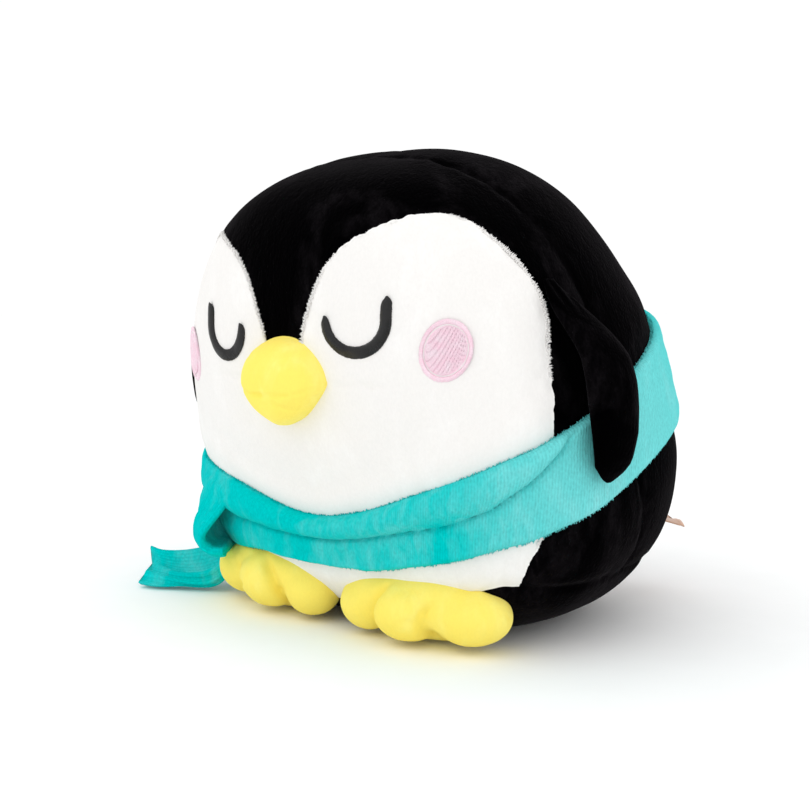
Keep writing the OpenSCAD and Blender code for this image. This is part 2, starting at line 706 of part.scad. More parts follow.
// layer of a foot between two shares of its thickness
module foot_layer(side, low, high) {
  turns = side > 0 ? foot_turns : [for (k = [len(foot_turns) - 1:-1:0]) foot_turns[k]];
  place = function (p) side > 0 ? p : mirror_x(p);
  upper = [for (r = foot_rings) [for (a = turns) place(foot_point(r, a, high))]];
  lower = [for (r = foot_rings) [for (a = turns) place(foot_point(r, a, low))]];
  disc_slab(place(foot_point(0, 0, high)), upper, place(foot_point(0, 0, low)), lower);
}

module foot_top_panel(side) foot_layer(side, 0.9, 1);

module foot_sole_panel(side) foot_layer(side, 0, 0.1);

module foot_filling(side) foot_layer(side, 0.115, 0.885);

module left_foot_top_panel() color([1, 0.93, 0.5]) foot_top_panel(1);

module left_foot_sole_panel() color([1, 0.93, 0.5]) foot_sole_panel(1);

module left_foot_filling() color([0.93, 0.93, 0.92]) foot_filling(1);

module right_foot_top_panel() color([1, 0.93, 0.5]) foot_top_panel(-1);

module right_foot_sole_panel() color([1, 0.93, 0.5]) foot_sole_panel(-1);

module right_foot_filling() color([0.93, 0.93, 0.92]) foot_filling(-1);

// ---------- label ----------

module care_label() color([0.8, 0.65, 0.52])
  translate(skin(at_height(label_turn, label_z), 2.7))
    rotate([label_droop, 0, label_turn])
      translate([-label_w / 2, -label_l, -label_t / 2])
        cube([label_w, label_l, label_t]);

face_panel();
hood_panel();
back_panel_left();
back_panel_right();
base_panel();
body_filling();
beak_upper_panel();
beak_lower_panel();
beak_filling();
left_eye_embroidery();
right_eye_embroidery();
left_cheek_patch();
right_cheek_patch();
scarf_band();
scarf_knot();
scarf_tail_long();
scarf_tail_short();
left_flipper_outer_panel();
left_flipper_inner_panel();
left_flipper_filling();
right_flipper_outer_panel();
right_flipper_inner_panel();
right_flipper_filling();
left_foot_top_panel();
left_foot_sole_panel();
left_foot_filling();
right_foot_top_panel();
right_foot_sole_panel();
right_foot_filling();
care_label();
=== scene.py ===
import itertools
import math

import bmesh
import bpy
import numpy as np
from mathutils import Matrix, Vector
from mathutils.kdtree import KDTree


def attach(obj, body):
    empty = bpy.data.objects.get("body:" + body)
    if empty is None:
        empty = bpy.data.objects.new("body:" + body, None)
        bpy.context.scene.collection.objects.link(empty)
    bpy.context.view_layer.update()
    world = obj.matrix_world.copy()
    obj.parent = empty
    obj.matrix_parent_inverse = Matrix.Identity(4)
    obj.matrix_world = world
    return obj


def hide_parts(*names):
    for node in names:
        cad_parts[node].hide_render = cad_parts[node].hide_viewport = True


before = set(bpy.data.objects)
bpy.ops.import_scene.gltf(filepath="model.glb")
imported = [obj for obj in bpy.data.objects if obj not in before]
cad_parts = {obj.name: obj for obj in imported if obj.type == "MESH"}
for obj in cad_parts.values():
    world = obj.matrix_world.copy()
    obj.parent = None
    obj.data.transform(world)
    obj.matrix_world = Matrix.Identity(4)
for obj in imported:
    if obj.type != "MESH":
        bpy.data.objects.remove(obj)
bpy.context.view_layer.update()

# Shapes are worked out in millimetres, as in the CAD source, and add_piece() turns them into metres.
MM = 0.001

# The stuffed body: half width, depths before and behind the middle, heights above and below it.
CENTRE = np.array([0.0, -2.0, 68.5])
HALF_W, FRONT, BACK, TOP, UNDER = 128.0, 84.0, 112.0, 174.0, 80.0
LEAN_DEG, LEAN_FROM, LEAN_SPAN = 19.0, -0.75, 1.05
ROUND_TOP, ROUND_UNDER = 2.6, 2.2
SETTLE_SOFT, SETTLE_SINK = 8.0, 3.0

# Seams
BASE_RISE, BASE_RISE_FRONT = -17.0, -42.0
CROWN_BACK = 10.0
CHIN_TURN = 62.0
FACE_CURVE = np.array([
    (12, 142), (16, 158), (29, 184), (50, 198), (75, 204), (97, 189),
    (112, 164), (118, 132), (119, 105), (118, 82), (113, 60), (106, 45),
], float)

# Beak, eyes and cheeks
BEAK_W, BEAK_H, BEAK_Z, BEAK_OUT = 26.5, 21.0, 127.0, 17.0
BEAK_DROOP_DEG, BEAK_LOW_ROUND = 18.0, 1.35
EYE_X, EYE_Z, EYE_W, EYE_DROP, EYE_TAIL, EYE_LINE = 44.5, 157.0, 16.5, 15.0, 10.0, 5.5
CHEEK_X, CHEEK_Z, CHEEK_R = 87.0, 144.0, 12.0
# The stuffed face is not quite even: its right side sits a little lower.
RIGHT_EYE_DROP, RIGHT_CHEEK_DROP, RIGHT_LOBE_DROP = 5.0, 9.0, 6.0
RIGHT_EYE_SHARE = 0.86

# Scarf
SCARF_TOP, SCARF_LOW, SCARF_SAG = (60.0, 161.0), (35.0, 112.0), 18.0
KNOT_TURN, KNOT_PULL = -52.0, 9.0
# Radius and width of the band laid flat, as its folds and nap lines are drawn on it
BAND_R, BAND_WIDE = 118.0, 34.0

# Flippers and feet
FLIPPER_ROOT_Y, FLIPPER_ROOT_Z, FLIPPER_TIP_Z = -46.5, 176.0, 84.0
FLIPPER_W, FLIPPER_T = 20.0, 13.0
FOOT_MIDDLE = (48.0, -60.0, 14.0)

# Label
LABEL_TURN, LABEL_Z, LABEL_L, LABEL_W, LABEL_DROOP_DEG = 144.0, 45.0, 25.0, 24.0, 14.0


# ---------- numbers and noise ----------


def smooth(t):
    """0 below 0, 1 above 1, with an even rise between."""
    t = np.clip(t, 0.0, 1.0)
    return t * t * (3 - 2 * t)


def mix(a, b, t):
    """a at t = 0, b at t = 1."""
    return a + (b - a) * t


def unit(v):
    """v at length 1."""
    return v / np.linalg.norm(v, axis=-1, keepdims=True)


def hump(x, width):
    """1 at x = 0, falling smoothly to 0 a few widths away."""
    return np.exp(-((x / width) ** 2))


def points_of(*columns):
    """Points from their x, y and z."""
    return np.stack(np.broadcast_arrays(*columns), axis=-1).astype(float)


def noise(p, size, seed=0):
    """Smooth value noise from -1 to 1, with features about size across."""
    q = np.asarray(p, float) / size + 91.7
    cell = np.floor(q).astype(np.int64)
    part = q - cell
    part = part * part * (3 - 2 * part)
    total = np.zeros(len(q))
    for corner in itertools.product((0, 1), repeat=3):
        k = cell + np.array(corner)
        h = (k[:, 0] * 73856093) ^ (k[:, 1] * 19349663) ^ (k[:, 2] * 83492791) ^ (seed * 2654435)
        h = ((h ^ (h >> 13)) * 1274126177) & 0xFFFFFFFF
        h = (h ^ (h >> 16)) & 0xFFFF
        share = np.prod(np.where(np.array(corner) == 1, part, 1 - part), axis=1)
        total += share * (h / 32767.5 - 1)
    return total


def spline(knots, count):
    """count points along a smooth curve through the knots."""
    k = np.asarray(knots, float)
    k = np.vstack([2 * k[0] - k[1], k, 2 * k[-1] - k[-2]])
    t = np.linspace(0, len(k) - 3, count)
    i = np.minimum(t.astype(int), len(k) - 4)
    u = (t - i)[:, None]
    a, b, c, d = k[i], k[i + 1], k[i + 2], k[i + 3]
    return b + 0.5 * u * ((c - a) + u * (2 * a - 5 * b + 4 * c - d + u * (3 * (b - c) + d - a)))


# ---------- the body surface ----------


def bearing(turn, rise):
    """Direction from the body centre: turn 0 faces the front and +90 the left side."""
    a, b = np.radians(turn), np.radians(rise)
    return points_of(np.cos(b) * np.sin(a), -np.cos(b) * np.cos(a), np.sin(b))


def reach(d):
    """Distance from the body centre to its surface in direction d."""
    lean = np.radians(LEAN_DEG) * smooth((d[..., 2] - LEAN_FROM) / LEAN_SPAN)
    qx = d[..., 0]
    qy = d[..., 1] * np.cos(lean) + d[..., 2] * np.sin(lean)
    qz = d[..., 2] * np.cos(lean) - d[..., 1] * np.sin(lean)
    depth = np.where(qy < 0, FRONT, BACK)
    rise = np.where(qz > 0, TOP, UNDER)
    n = np.where(qz > 0, ROUND_TOP, ROUND_UNDER)
    ring = (np.abs(qx / HALF_W) ** ROUND_TOP + np.abs(qy / depth) ** ROUND_TOP) ** (1 / ROUND_TOP)
    return (ring**n + np.abs(qz / rise) ** n) ** (-1 / n)


def settled(z):
    """Height after the underside has settled flat on the floor."""
    soft = SETTLE_SOFT * np.logaddexp(0, z / SETTLE_SOFT)
    return np.maximum(0, soft - SETTLE_SINK * np.exp(-np.maximum(z, 0) / 20))


def skin(d, grow=0.0):
    """Surface point in direction d, lifted by grow."""
    p = CENTRE + d * (reach(d) + grow)[..., None]
    p[..., 2] = settled(p[..., 2])
    return p


def outside(p):
    """Below 0 inside the body, above 0 outside it."""
    v = p - CENTRE
    length = np.linalg.norm(v, axis=-1)
    return length / reach(v / length[..., None]) - 1


def crossing(point_at, near, far, steps=24):
    """Where point_at(t) crosses the body surface between near, which is inside, and far."""
    for _ in range(steps):
        middle = (near + far) / 2
        inside = outside(point_at(middle)) < 0
        near, far = np.where(inside, middle, near), np.where(inside, far, middle)
    return (near + far) / 2


def front_dir(x, z):
    """Direction of the surface point seen from the front at x, z."""
    x, z = np.broadcast_arrays(np.asarray(x, float), np.asarray(z, float))
    y = crossing(lambda t: points_of(x, t, z), np.zeros(x.shape), np.full(x.shape, -140.0))
    return unit(points_of(x, y, z) - CENTRE)


def side_x(y, z):
    """x of the left side of the body at y, z."""
    return crossing(lambda t: points_of(t, y, z), np.zeros(np.shape(y)), np.full(np.shape(y), 150.0))


def at_height(turn, z):
    """Direction at a bearing whose surface point has height z."""
    turn, z = np.broadcast_arrays(np.asarray(turn, float), np.asarray(z, float))
    low, high = np.full(turn.shape, -60.0), np.full(turn.shape, 85.0)
    for _ in range(22):
        middle = (low + high) / 2
        under = skin(bearing(turn, middle))[..., 2] < z
        low, high = np.where(under, middle, low), np.where(under, high, middle)
    return bearing(turn, (low + high) / 2)


# ---------- meshes ----------


def add_piece(name, points, faces, material, body, nodes=(), lay=None):
    """Makes a shown piece from points in millimetres, puts it on its body and hides what it stands for.

    lay gives each point its place in millimetres on the cloth before it was sewn, for the nap lines.
    """
    mesh = bpy.data.meshes.new(name)
    mesh.from_pydata((np.asarray(points) * MM).tolist(), [], [list(face) for face in faces])
    mesh.update()
    if lay is not None:
        corners = np.zeros(len(mesh.loops), np.int64)
        mesh.loops.foreach_get("vertex_index", corners)
        flat = mesh.uv_layers.new(name="lay").data
        flat.foreach_set("uv", (np.asarray(lay)[corners] * 0.01).astype(np.float32).ravel())
    mesh.shade_smooth()
    mesh.materials.append(material)
    piece = bpy.data.objects.new(name, mesh)
    bpy.context.scene.collection.objects.link(piece)
    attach(piece, body)
    if nodes:
        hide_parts(*nodes)
    return piece


def grid_faces(rows, cols, close_rows=False, close_cols=False):
    """Quads of a grid of points; a closed direction joins its last line to its first."""
    r = np.arange(rows if close_rows else rows - 1)[:, None]
    c = np.arange(cols if close_cols else cols - 1)[None, :]
    r2, c2 = (r + 1) % rows, (c + 1) % cols
    quads = [r * cols + c, r * cols + c2, r2 * cols + c2, r2 * cols + c]
    return np.stack(np.broadcast_arrays(*quads), -1).reshape(-1, 4)


def capped(rings):
    """Points and faces of closed rings stacked along a path, with a middle point at each end."""
    rows, cols, _ = rings.shape
    points = np.vstack([rings.reshape(-1, 3), rings[0].mean(0), rings[-1].mean(0)])
    faces = grid_faces(rows, cols, close_cols=True).tolist()
    first, last, end = rows * cols, rows * cols + 1, (rows - 1) * cols
    for c in range(cols):
        nxt = (c + 1) % cols
        faces.append([first, nxt, c])
        faces.append([last, end + c, end + nxt])
    return points, faces


def joined(parts):
    """One set of points and faces from several."""
    points, faces, base = [], [], 0
    for p, f in parts:
        points.append(p)
        faces.extend([[int(i) + base for i in face] for face in f])
        base += len(p)
    return np.vstack(points), faces


def cut(points, faces, value):
    """The part of a triangle mesh where value is below 0; its border runs where value is 0."""
    inside = value < 0
    count = inside[faces].sum(1)
    whole = faces[count == 3]
    split = faces[(count == 1) | (count == 2)]
    flags = inside[split]
    odd = np.where(flags.sum(1) == 1, flags.argmax(1), (~flags).argmax(1))
    turned = np.stack([split[np.arange(len(split)), (odd + k) % 3] for k in range(3)], 1)
    edges = np.sort(np.concatenate([turned[:, [0, 1]], turned[:, [0, 2]]]), 1)
    pairs, index = np.unique(edges, axis=0, return_inverse=True)
    index = index.ravel() + len(points)
    a, b = value[pairs[:, 0]], value[pairs[:, 1]]
    share = (a / (a - b))[:, None]
    new = points[pairs[:, 0]] + (points[pairs[:, 1]] - points[pairs[:, 0]]) * share
    ab, ac = index[: len(turned)], index[len(turned):]
    lone = inside[turned[:, 0]]
    one = np.stack([turned[lone, 0], ab[lone], ac[lone]], 1)
    two = ~lone
    near = np.stack([ab[two], turned[two, 1], turned[two, 2]], 1)
    rest = np.stack([ab[two], turned[two, 2], ac[two]], 1)
    kept = np.concatenate([whole, one, near, rest])
    used, again = np.unique(kept, return_inverse=True)
    return np.vstack([points, new])[used], again.reshape(-1, 3)


def sphere_mesh(level):
    """Unit directions and triangles of a fine ball of even triangles."""
    mesh = bpy.data.meshes.new("directions")
    bm = bmesh.new()
    bmesh.ops.create_icosphere(bm, subdivisions=level, radius=1.0)
    bm.to_mesh(mesh)
    bm.free()
    points = np.zeros(len(mesh.vertices) * 3)
    mesh.vertices.foreach_get("co", points)
    faces = np.zeros(len(mesh.polygons) * 3, np.int64)
    mesh.polygons.foreach_get("vertices", faces)
    bpy.data.meshes.remove(mesh)
    return unit(points.reshape(-1, 3)), faces.reshape(-1, 3)


def strands(roots, ways, ups, rng, length=(1.2, 2.6), width=0.8, spread=0.6):
    """Short tapered tufts of pile: each leaves its root along its way and lifts off the cloth."""
    count = len(roots)
    across = unit(np.cross(ways, ups))
    sideways = rng.uniform(-spread, spread, (count, 1))
    way = unit(ways + across * sideways + ups * rng.uniform(0.05, 0.4, (count, 1)))
    long = rng.uniform(*length, (count, 1))
    wide = across * (width / 2)
    tip = roots + way * long
    high = roots + way * long * 0.45 + ups * 0.35
    narrow = wide * 0.7
    sunk = roots - ups * 0.5
    points = np.stack([roots - wide, roots + wide, high + narrow, high - narrow, tip, sunk], 1)
    faces = []
    for base in range(0, count * 6, 6):
        faces += [
            [base, base + 1, base + 2, base + 3],
            [base + 3, base + 2, base + 4],
            [base + 1, base + 5, base + 4, base + 2],
            [base + 5, base, base + 3, base + 4],
            [base, base + 5, base + 1],
        ]
    return points.reshape(-1, 3), faces


# ---------- materials ----------


def node(tree, kind, values=None, **settings):
    """A shader node with its settings, its values and the links into it."""
    made = tree.nodes.new(kind)
    for key, value in settings.items():
        setattr(made, key, value)
    for key, value in (values or {}).items():
        if isinstance(value, bpy.types.NodeSocket):
            tree.links.new(value, made.inputs[key])
        else:
            made.inputs[key].default_value = value
    return made


def ramp(tree, source, stops):
    """Grey levels at places along the source."""
    made = tree.nodes.new("ShaderNodeValToRGB")
    tree.links.new(source, made.inputs[0])
    points = made.color_ramp.elements
    while len(points) < len(stops):
        points.new(0.5)
    for point, (place, grey) in zip(points, stops):
        point.position = place
        point.color = (grey, grey, grey, 1)
    return made.outputs[0]


def mixed(tree, share, a, b, blend="MIX"):
    """Two colours mixed by a share."""
    made = tree.nodes.new("ShaderNodeMix")
    made.data_type = "RGBA"
    made.blend_type = blend
    for index, value in ((0, share), (6, a), (7, b)):
        if isinstance(value, bpy.types.NodeSocket):
            tree.links.new(value, made.inputs[index])
        else:
            made.inputs[index].default_value = value
    return made.outputs[2]


def speckle(tree, place, scale, stretch=(1, 1, 1), detail=2.0, distortion=0.0):
    """Noise in object space, stretched along the axes."""
    mapped = node(tree, "ShaderNodeMapping", {"Vector": place, "Scale": stretch}).outputs[0]
    values = {"Vector": mapped, "Scale": scale, "Detail": detail, "Distortion": distortion}
    return node(tree, "ShaderNodeTexNoise", values).outputs[0]


def blank_material(name):
    """Material, its tree, its shader and the place in object space."""
    made = bpy.data.materials.new(name)
    made.use_nodes = True
    tree = made.node_tree
    tree.nodes.clear()
    shader = tree.nodes.new("ShaderNodeBsdfPrincipled")
    out = tree.nodes.new("ShaderNodeOutputMaterial")
    tree.links.new(shader.outputs[0], out.inputs[0])
    place = tree.nodes.new("ShaderNodeTexCoord").outputs["Object"]
    return made, tree, shader, place


def plush(name, base, light, nap=0.8, sheen=0.2, sheen_colour=(1, 1, 1, 1), grain=0.1, relief=0.4,
          ribs=None, gloss=0.1, painted_sheen_side=None):
    """Short soft pile: patches whose nap lies the other way look lighter, and fine tufts catch the
    light.

    ribs is the strength of the lines of nap and of the painted shade between them; they follow the cloth
    where the piece says how it lies.
    The last argument gives two places across the toy, in metres, between which the pile turns lighter
    with painted sheen on the toy's left side.
    """
    made, tree, shader, place = blank_material(name)
    patches = speckle(tree, place, 24, (1, 1, 0.5), 4, 1.4)
    streaks = speckle(tree, place, 230, (1, 1, 0.35), 3, 0.6)
    tufts = speckle(tree, place, 900, (1, 1, 0.6), 2)
    nap_and_sheen = mixed(tree, 0.75, ramp(tree, patches, [(0.47, 0), (0.62, 1)]),
                    ramp(tree, streaks, [(0.35, 0), (0.65, 1)]), "MULTIPLY")
    nap_and_sheen = mixed(tree, nap, (0, 0, 0, 1), nap_and_sheen)
    # Painted sheen: the pile is lightened across the toy's left side, on top of its random nap patches.
    if painted_sheen_side:
        across = node(tree, "ShaderNodeSeparateXYZ", {"Vector": place}).outputs[0]
        turned = ramp(tree, across, [(painted_sheen_side[0], 0), (painted_sheen_side[1], 1)])
        nap_and_sheen = mixed(tree, 0.6, nap_and_sheen, turned, "ADD")
    colour = mixed(tree, nap_and_sheen, base, light)
    shade = ramp(tree, tufts, [(0.3, 1 - grain), (0.7, 1.0)])
    colour = mixed(tree, 1.0, colour, shade, "MULTIPLY")
    low = node(tree, "ShaderNodeBump", {"Height": streaks, "Strength": relief * 0.6, "Distance": 0.0012})
    normal = low.outputs[0]
    if ribs:
        flat = tree.nodes.new("ShaderNodeTexCoord").outputs["UV"]
        values = {"Vector": flat, "Scale": 26.0, "Distortion": 1.6, "Detail": 2.0, "Detail Scale": 1.2}
        wave = node(tree, "ShaderNodeTexWave", values, bands_direction="X").outputs[1]
        # Painted shade: the colour is darkened in the grooves between the ribs.
        between = ramp(tree, wave, [(0.0, 1 - 0.35 * ribs), (0.6, 1.0)])
        colour = mixed(tree, 1.0, colour, between, "MULTIPLY")
        lines = node(tree, "ShaderNodeBump",
                     {"Height": wave, "Strength": ribs, "Distance": 0.0005, "Normal": normal})
        normal = lines.outputs[0]
    tree.links.new(colour, shader.inputs["Base Color"])
    fine = node(tree, "ShaderNodeBump",
                {"Height": tufts, "Strength": relief, "Distance": 0.0006, "Normal": normal})
    tree.links.new(fine.outputs[0], shader.inputs["Normal"])
    shader.inputs["Roughness"].default_value = 0.94
    shader.inputs["Specular IOR Level"].default_value = gloss
    shader.inputs["Sheen Weight"].default_value = sheen
    shader.inputs["Sheen Roughness"].default_value = 0.35
    shader.inputs["Sheen Tint"].default_value = sheen_colour
    return made


def thread(name, colour, dark, gloss):
    """Rayon embroidery thread: smooth twisted fibres with a soft shine."""
    made, tree, shader, place = blank_material(name)
    twist = speckle(tree, place, 1900, (1, 1, 1), 2)
    tone = speckle(tree, place, 240, (1, 1, 1), 2)
    mingled = mixed(tree, ramp(tree, tone, [(0.35, 0), (0.7, 1)]), dark, colour)
    tree.links.new(mixed(tree, 0.3, mingled, ramp(tree, twist, [(0.3, 0.55), (0.7, 1)]), "MULTIPLY"),
                   shader.inputs["Base Color"])
    height = node(tree, "ShaderNodeBump", {"Height": twist, "Strength": 0.35, "Distance": 0.0003})
    tree.links.new(height.outputs[0], shader.inputs["Normal"])
    shader.inputs["Roughness"].default_value = gloss
    shader.inputs["Specular IOR Level"].default_value = 0.4
    return made


def satin(name, colour, dark):
    """Woven satin ribbon with fine cross threads."""
    made, tree, shader, place = blank_material(name)
    values = {"Vector": place, "Scale": 900.0, "Distortion": 0.4, "Detail": 1.0}
    weave = node(tree, "ShaderNodeTexWave", values, bands_direction="Z").outputs[1]
    tone = ramp(tree, speckle(tree, place, 60, (1, 1, 3), 2), [(0.35, 0), (0.7, 1)])
    tree.links.new(mixed(tree, tone, dark, colour), shader.inputs["Base Color"])
    height = node(tree, "ShaderNodeBump", {"Height": weave, "Strength": 0.3, "Distance": 0.0003})
    tree.links.new(height.outputs[0], shader.inputs["Normal"])
    shader.inputs["Roughness"].default_value = 0.38
    shader.inputs["Sheen Weight"].default_value = 0.3
    return made


WHITE = plush("white_minky", (0.87, 0.855, 0.835, 1), (0.91, 0.90, 0.885, 1), sheen=0.06,
              grain=0.03, relief=0.2)
BLACK = plush("black_minky", (0.0005, 0.0004, 0.0006, 1), (0.007, 0.006, 0.007, 1), nap=0.9, sheen=0.035,
              sheen_colour=(1, 0.93, 1, 1), grain=0.5, relief=0.7, gloss=0.0)
# The teal pile gets painted sheen on the toy's left side and painted shade between its ribs.
TEAL = plush("teal_minky", (0.0, 0.62, 0.61, 1), (0.32, 0.80, 0.81, 1), nap=0.24, sheen=0.10,
             sheen_colour=(0.15, 1, 1, 1), grain=0.16, relief=0.7, ribs=0.28, gloss=0.0,
             painted_sheen_side=(0.085, 0.135))
YELLOW = plush("yellow_minky", (1.0, 0.82, 0.15, 1), (1.0, 0.87, 0.22, 1), sheen=0.10,
               sheen_colour=(1, 0.98, 0.6, 1), grain=0.03, relief=0.2)
DARK_THREAD = thread("dark_thread", (0.010, 0.009, 0.010, 1), (0.003, 0.003, 0.003, 1), 0.3)
PINK_THREAD = thread("pink_thread", (1.0, 0.82, 0.90, 1), (1.0, 0.72, 0.83, 1), 0.5)
TAN_SATIN = satin("tan_satin", (0.74, 0.44, 0.30, 1), (0.50, 0.27, 0.17, 1))


# ---------- body panels ----------


def base_seam(turn):
    """Angle below level of the seam round the base, which dips under the chin."""
    return mix(BASE_RISE_FRONT, BASE_RISE, smooth((np.abs(turn) - 30) / 31))


def face_outline():
    """Points round the white panel on the body surface; the chin runs below the base seam."""
    curve = spline(FACE_CURVE, 520)
    turn = np.linspace(CHIN_TURN, 0, 90)
    chin = bearing(turn, base_seam(turn) - 9)
    lower = RIGHT_LOBE_DROP * smooth((curve[:, 1] - 120) / 60)
    halves = []
    for side, drop in ((1, 0.0), (-1, lower)):
        lobe = front_dir(curve[:, 0], curve[:, 1] - drop)
        half = unit(np.vstack([lobe, np.linspace(lobe[-1], chin[0], 30), chin]))
        halves.append(half * np.array([side, 1.0, 1.0]))
    return halves[0], halves[1], len(curve)


LEFT_HALF, RIGHT_HALF, SIDE_COUNT = face_outline()
OUTLINE = np.vstack([LEFT_HALF, RIGHT_HALF[::-1]])
OUTLINE_POINTS = skin(OUTLINE)
FACE_MID = bearing(0.0, 30.0)
FACE_X = np.array([1.0, 0.0, 0.0])
FACE_Z = unit(np.cross(FACE_X, FACE_MID)) * -1.0


def flat_view(d):
    """Stereographic view of directions round the middle of the face."""
    scale = 1 + d @ FACE_MID
    scale = np.maximum(scale, 0.05)
    return np.stack([d @ FACE_X / scale, d @ FACE_Z / scale], -1)


def in_outline(d):
    """Whether directions lie inside the outline of the white panel."""
    q, edge = flat_view(d), flat_view(OUTLINE)
    nxt = np.roll(edge, -1, axis=0)
    inside = np.zeros(len(q), bool)
    for (ax, az), (bx, bz) in zip(edge, nxt):
        if az == bz:
            continue
        spans = (az > q[:, 1]) != (bz > q[:, 1])
        inside ^= spans & (q[:, 0] < ax + (q[:, 1] - az) / (bz - az) * (bx - ax))
    return inside


OUTLINE_TREE = KDTree(len(OUTLINE_POINTS))
for number, place in enumerate(OUTLINE_POINTS):
    OUTLINE_TREE.insert(place, number)
OUTLINE_TREE.balance()


def face_field(d):
    """Signed distance to the edge of the white panel, below 0 inside it."""
    away = np.array([OUTLINE_TREE.find(p)[2] for p in skin(d)])
    return np.where(in_outline(d), -away, away)


def turn_of(d):
    """Bearing of directions, in degrees."""
    return np.degrees(np.arctan2(d[:, 0], -d[:, 1]))


def base_field(d):
    """Signed distance above the base seam."""
    return (np.arcsin(d[:, 2]) - np.radians(base_seam(turn_of(d)))) * reach(d)


def crown_field(d):
    """Signed distance to the seam over the crown and down both sides, below 0 in front of it."""
    lean = np.radians(LEAN_DEG) * smooth((d[:, 2] - LEAN_FROM) / LEAN_SPAN)
    qy = d[:, 1] * np.cos(lean) + d[:, 2] * np.sin(lean)
    qz = d[:, 2] * np.cos(lean) - d[:, 1] * np.sin(lean)
    rise = np.where(qz > 0, TOP, UNDER)
    return (qy - CROWN_BACK * np.sqrt((d[:, 0] / HALF_W) ** 2 + (qz / rise) ** 2)) * reach(d)


def panel(name, kind, field, material, nodes, lift=0.0):
    """One fabric panel, cut from the body surface, with its seams drawn in and its stuffing showing."""
    d, faces = DIRECTIONS, TRIANGLES
    for value in field:
        d, faces = cut(d, faces, value(d))
        d = unit(d)
    p = skin(d)
    base, crown = np.abs(base_field(d)), np.abs(crown_field(d))
    rim = np.array([OUTLINE_TREE.find(q)[2] for q in p])
    above = base_field(d) > -0.5
    gaps = {"base": base, "rim": np.where(above & (p[:, 1] < 20), rim, 99.0)}
    gaps["crown"] = np.where(above & (kind != "face"), crown, 99.0)
    gaps["back"] = np.where(above & (kind == "back"), np.abs(p[:, 0]), 99.0)
    wobble = 0.75 + 0.45 * noise(p, 9, 3)
    sink = np.zeros(len(p))
    for seam, (deep, narrow, wide) in {
        "base": (2.0, 2.6, 9), "rim": (0.5, 1.8, 6), "crown": (1.5, 2.0, 8), "back": (1.5, 2.0, 8),
    }.items():
        sink += deep * wobble * (hump(gaps[seam], narrow) * 0.75 + hump(gaps[seam], wide) * 0.35)
    near = np.minimum.reduce(list(gaps.values()))
    pucker = 0.55 * noise(p, 5.5, 5) * hump(near, 7)
    lumps = 0.9 * noise(p, 48, 7) + 0.35 * noise(p, 19, 9)
    turn = turn_of(d)
    share = (p[:, 2] - scarf_low(turn)) / (scarf_top(turn) - scarf_low(turn))
    squeezed = 2.2 * smooth(share * 5) * smooth((1 - share) * 6)
    bulge = 1.6 * hump(share - 1.25, 0.28) + 1.0 * hump(share + 0.3, 0.25)
    rise = lift - sink + pucker + lumps - squeezed + bulge
    if kind == "face":
        along = smooth((np.abs(p[:, 0]) - 22) / 6) * smooth((66 - np.abs(p[:, 0])) / 16)
        dart = hump(p[:, 2] - BEAK_Z + 0.5 - 0.5 * noise(p, 8, 12), 1.3) * along
        rise -= dart * (0.75 + 0.5 * noise(p, 3.2, 11)) - 0.25 * hump(p[:, 2] - BEAK_Z - 4, 4) * along
    rise *= smooth(p[:, 2] / 9 + 0.05)
    p = p + d * rise[:, None]
    p[:, 2] = np.maximum(p[:, 2], 0.0)
    return add_piece(name, p, faces, material, "body", nodes)


def scarf_climb(turn, power):
    """How far the scarf has climbed, 0 at the front and 1 across the back."""
    return smooth(np.abs(turn) / 140) ** power


def scarf_pull(turn):
    """How far the knot pulls the scarf down beside it."""
    return KNOT_PULL * hump(turn - KNOT_TURN, 17)


def scarf_sag(turn):
    """How far the scarf sags behind the knot."""
    return SCARF_SAG * hump(turn - KNOT_TURN + 28, 30)


def scarf_top(turn):
    """Height of the top edge of the scarf."""
    return mix(*SCARF_TOP, scarf_climb(turn, 1.05)) - 0.2 * scarf_pull(turn) - 1.5 * scarf_sag(turn)


def scarf_low(turn):
    """Height of the low edge of the scarf."""
    return mix(*SCARF_LOW, scarf_climb(turn, 1.45)) - scarf_pull(turn) - scarf_sag(turn)


DIRECTIONS, TRIANGLES = sphere_mesh(8)


def body_panels():
    """The five fabric panels of the body and the tufts along the edge of the white one."""
    def pile(d):
        """How far the white pile lies over the dark cloth along the edge."""
        q = skin(d)
        return 0.9 + 0.55 * noise(q, 1.5, 21) + 0.5 * noise(q, 3.4, 22)

    def above(d):
        return -base_field(d)

    def not_face(d):
        return -(face_field(d) + 0.6)

    panel("face_plush", "face", [above, lambda d: face_field(d) - pile(d)], WHITE,
          ["face_panel", "body_filling"], lift=0.35)
    panel("hood_plush", "hood", [above, crown_field, not_face], BLACK, ["hood_panel"])
    for side, name in ((1, "left"), (-1, "right")):
        fields = [above, lambda d: -crown_field(d), lambda d, s=side: -s * d[:, 0]]
        panel(f"back_{name}_plush", "back", fields, BLACK, [f"back_panel_{name}"])
    panel("base_plush", "base", [base_field], BLACK, ["base_panel"])

    rng = np.random.default_rng(4)
    for side, name, edge in ((1, "left", LEFT_HALF), (-1, "right", RIGHT_HALF)):
        half = skin(edge[:SIDE_COUNT])
        steps = np.linalg.norm(np.diff(half, axis=0), axis=1)
        length = np.concatenate([[0], np.cumsum(steps)])
        for_each = np.sort(rng.uniform(0, length[-1] - 8, 1500))
        place = np.stack([np.interp(for_each, length, half[:, k]) for k in range(3)], 1)
        ahead = np.stack([np.interp(for_each + 1, length, half[:, k]) for k in range(3)], 1)
        up = unit(place - CENTRE)
        out = unit(np.cross(unit(ahead - place), up)) * -side
        roots = place + up * 0.15 + out * rng.uniform(-0.8, 0.7, (len(place), 1))
        points, faces = strands(roots, out, up, rng, (0.9, 2.1), 0.7)
        add_piece(f"face_{name}_pile_edge", points, faces, WHITE, "body")


# ---------- beak ----------


